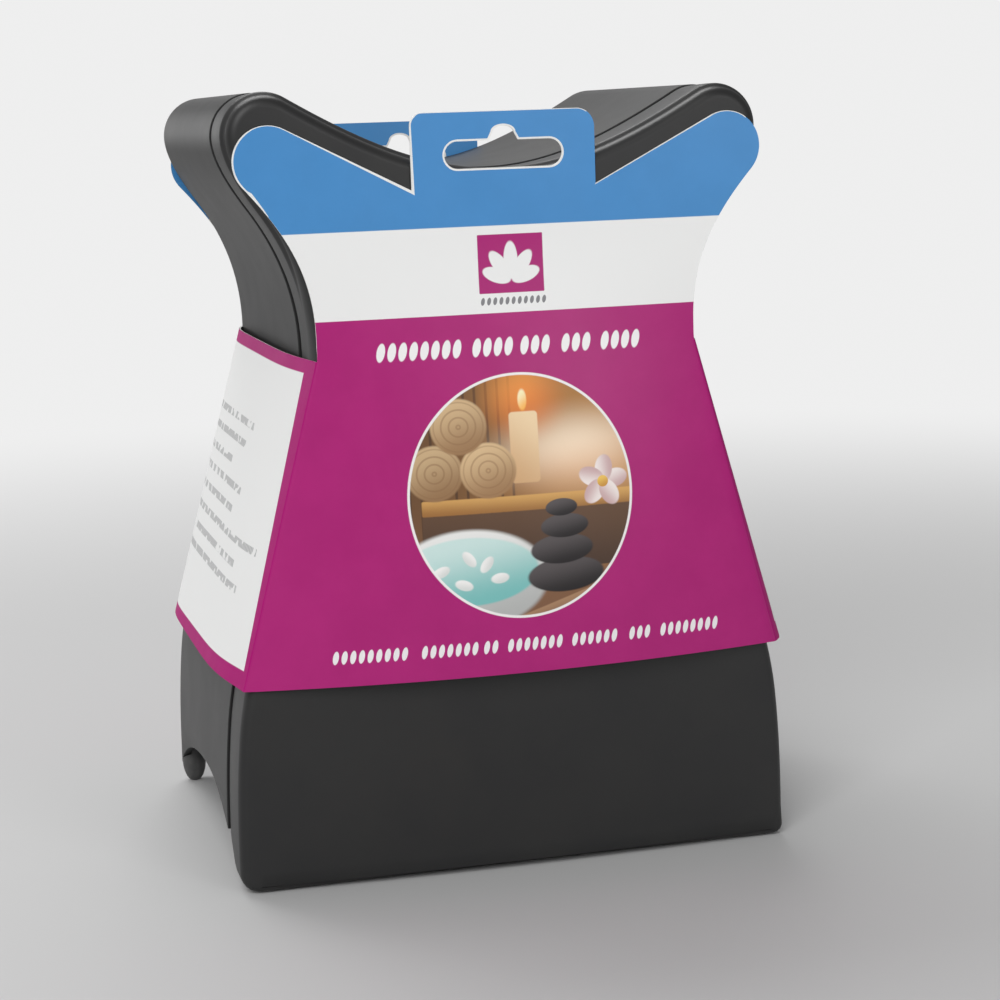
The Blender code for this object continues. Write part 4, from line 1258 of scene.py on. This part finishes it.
def innerMaterial(name):
    material, tree, shader = newMaterial(name)
    place = objectPoint(tree)
    fibre = clouds(tree, place, *paper["rawNoise"])
    raw = mixed(tree, fibre, inks["board"], toned(inks["board"], paper["rawTone"]))
    blue = tinted(tree, "blue", place)
    colour = bandAbove(tree, axesOf(tree, place)["Z"], bands["blueFrom"], raw, blue, bands["innerSoftness"])
    finishPrint(tree, shader, colour, place)
    return material


def edgeMaterial(name):
    material, tree, shader = newMaterial(name)
    fibre = clouds(tree, objectPoint(tree), *paper["edgeNoise"])
    colour = mixed(tree, fibre, toned(inks["cutEdge"], paper["edgeTone"]), inks["cutEdge"])
    dress(tree, shader, colour, fibre, gloss["cutEdge"])
    return material


def buildSleeve():
    s = sleeve
    board = makeObject("displaySleeve", fillSleeve, s["smoothAngle"])
    finishes = [panelMaterial("frontPrint", -1), panelMaterial("rearPrint", 1), sideMaterial("sidePrint")]
    finishes += [innerMaterial("boardInside")] * 3
    finishes += [edgeMaterial("boardCutEdge")] * 4
    for finish in finishes:
        board.data.materials.append(finish)
    thick = board.modifiers.new("board", "SOLIDIFY")
    thick.thickness = s["board"]
    thick.offset = -1
    thick.use_even_offset = True
    thick.material_offset = finishPlaces["inside"]
    thick.material_offset_rim = finishPlaces["cutEdge"]
    carve(board, [], [], s["smoothAngle"])
    board.location = (s["seat"][0], 0, s["seat"][1])
    board.rotation_euler = (0, -s["seatTurn"], 0)
    return board


displaySleeve = buildSleeve()
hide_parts("display_sleeve")
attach(displaySleeve, "root")
print("sleeve made:", len(displaySleeve.data.polygons), "faces")


# floor, lights and camera

studio = {
    "floorHalf": 4,
    "floorColour": (0.56, 0.56, 0.56),
    "floorRoughness": 0.75,
    "floorSpecular": 0.2,
    "backgroundLevel": 0.86,
    "floorFade": (0.35, 1.1),   # distances over which the floor blends into the background
    "ambient": 0.26,
    "aim": (0.0, 0.0, 0.12),
    "lamps": (   # name, place, width, height, watts
        ("keyLamp", (-0.75, -1.30, 1.15), 0.9, 0.9, 17.0),
        ("leftRearLamp", (-1.30, 0.55, 0.60), 0.9, 1.1, 2.6),
        ("leftLowLamp", (-0.75, 1.50, 0.45), 0.8, 0.6, 2.3),
        ("topRearLamp", (-0.15, 0.85, 1.35), 1.2, 0.8, 14.0),
        ("rightLamp", (0.62, -1.45, 0.55), 0.5, 0.4, 4.0),
    ),
}
photoCamera = {
    "place": (-0.18895, -0.75211, 0.23756),
    "yaw": 15.134,   # degrees to the right, down, and round the view
    "pitch": 9.493,
    "roll": -1.607,
    "lens": 82.414,
    "sensor": 36,
}


def buildFloor():
    half = studio["floorHalf"]
    corners = ((-half, -half, 0), (half, -half, 0), (half, half, 0), (-half, half, 0))
    floor = makeObject("floor", lambda bm: bm.faces.new([bm.verts.new(p) for p in corners]))
    material, tree, shader = newMaterial("paleFloor")
    place, pale = objectPoint(tree), studio["floorColour"]
    colour = mixed(tree, noise(tree, place, 3, 2), toned(pale, 0.985), pale)
    tree.links.new(colour, shader.inputs["Base Color"])
    shader.inputs["Roughness"].default_value = studio["floorRoughness"]
    shader.inputs["Specular IOR Level"].default_value = studio["floorSpecular"]
    path = addNode(tree, "ShaderNodeLightPath")
    faded = step(tree, lengthOf(tree, place), *studio["floorFade"])
    seen = product(tree, faded, path.outputs["Is Camera Ray"])
    glow = addNode(tree, "ShaderNodeEmission", {"Color": (1, 1, 1, 1), "Strength": studio["backgroundLevel"]})
    blend = addNode(tree, "ShaderNodeMixShader", {0: seen, 1: shader.outputs[0], 2: glow.outputs[0]})
    tree.links.new(blend.outputs[0], tree.nodes["Material Output"].inputs["Surface"])
    floor.data.materials.append(material)


def buildWorld():
    world = bpy.data.worlds.new("studioWorld")
    scene.world = world
    world.use_nodes = True
    tree = world.node_tree
    background = tree.nodes["Background"]
    path = addNode(tree, "ShaderNodeLightPath")
    seen = calc(tree, "MAXIMUM", path.outputs["Is Camera Ray"], path.outputs["Is Transmission Ray"])
    level = addNode(tree, "ShaderNodeMapRange", {
        "Value": seen, "To Min": studio["ambient"], "To Max": studio["backgroundLevel"]})
    tree.links.new(level.outputs["Result"], background.inputs["Strength"])
    background.inputs["Color"].default_value = (1, 1, 1, 1)


def buildLamps():
    for name, place, wide, tall, watts in studio["lamps"]:
        lamp = bpy.data.lights.new(name, "AREA")
        lamp.shape = "RECTANGLE"
        lamp.size, lamp.size_y, lamp.energy = wide, tall, watts
        holder = bpy.data.objects.new(name, lamp)
        holder.location = place
        way = Vector(studio["aim"]) - Vector(place)
        holder.rotation_euler = way.to_track_quat("-Z", "Y").to_euler()
        scene.collection.objects.link(holder)


def buildCamera():
    c = photoCamera
    yaw, pitch, roll = (math.radians(c[turn]) for turn in ("yaw", "pitch", "roll"))
    ahead = Vector((math.sin(yaw) * math.cos(pitch), math.cos(yaw) * math.cos(pitch), -math.sin(pitch)))
    level = Vector((math.cos(yaw), -math.sin(yaw), 0))
    up = level.cross(ahead)
    right = level * math.cos(roll) + up * math.sin(roll)
    up = up * math.cos(roll) - level * math.sin(roll)
    lens = bpy.data.cameras.new("photoCamera")
    lens.sensor_width = c["sensor"]
    lens.lens = c["lens"]
    holder = bpy.data.objects.new("photoCamera", lens)
    holder.matrix_world = Matrix.Translation(c["place"]) @ Matrix((right, up, -ahead)).transposed().to_4x4()
    scene.collection.objects.link(holder)
    scene.camera = holder


buildFloor()
buildWorld()
buildLamps()
buildCamera()
scene.view_settings.view_transform = "Standard"
print("studio made")
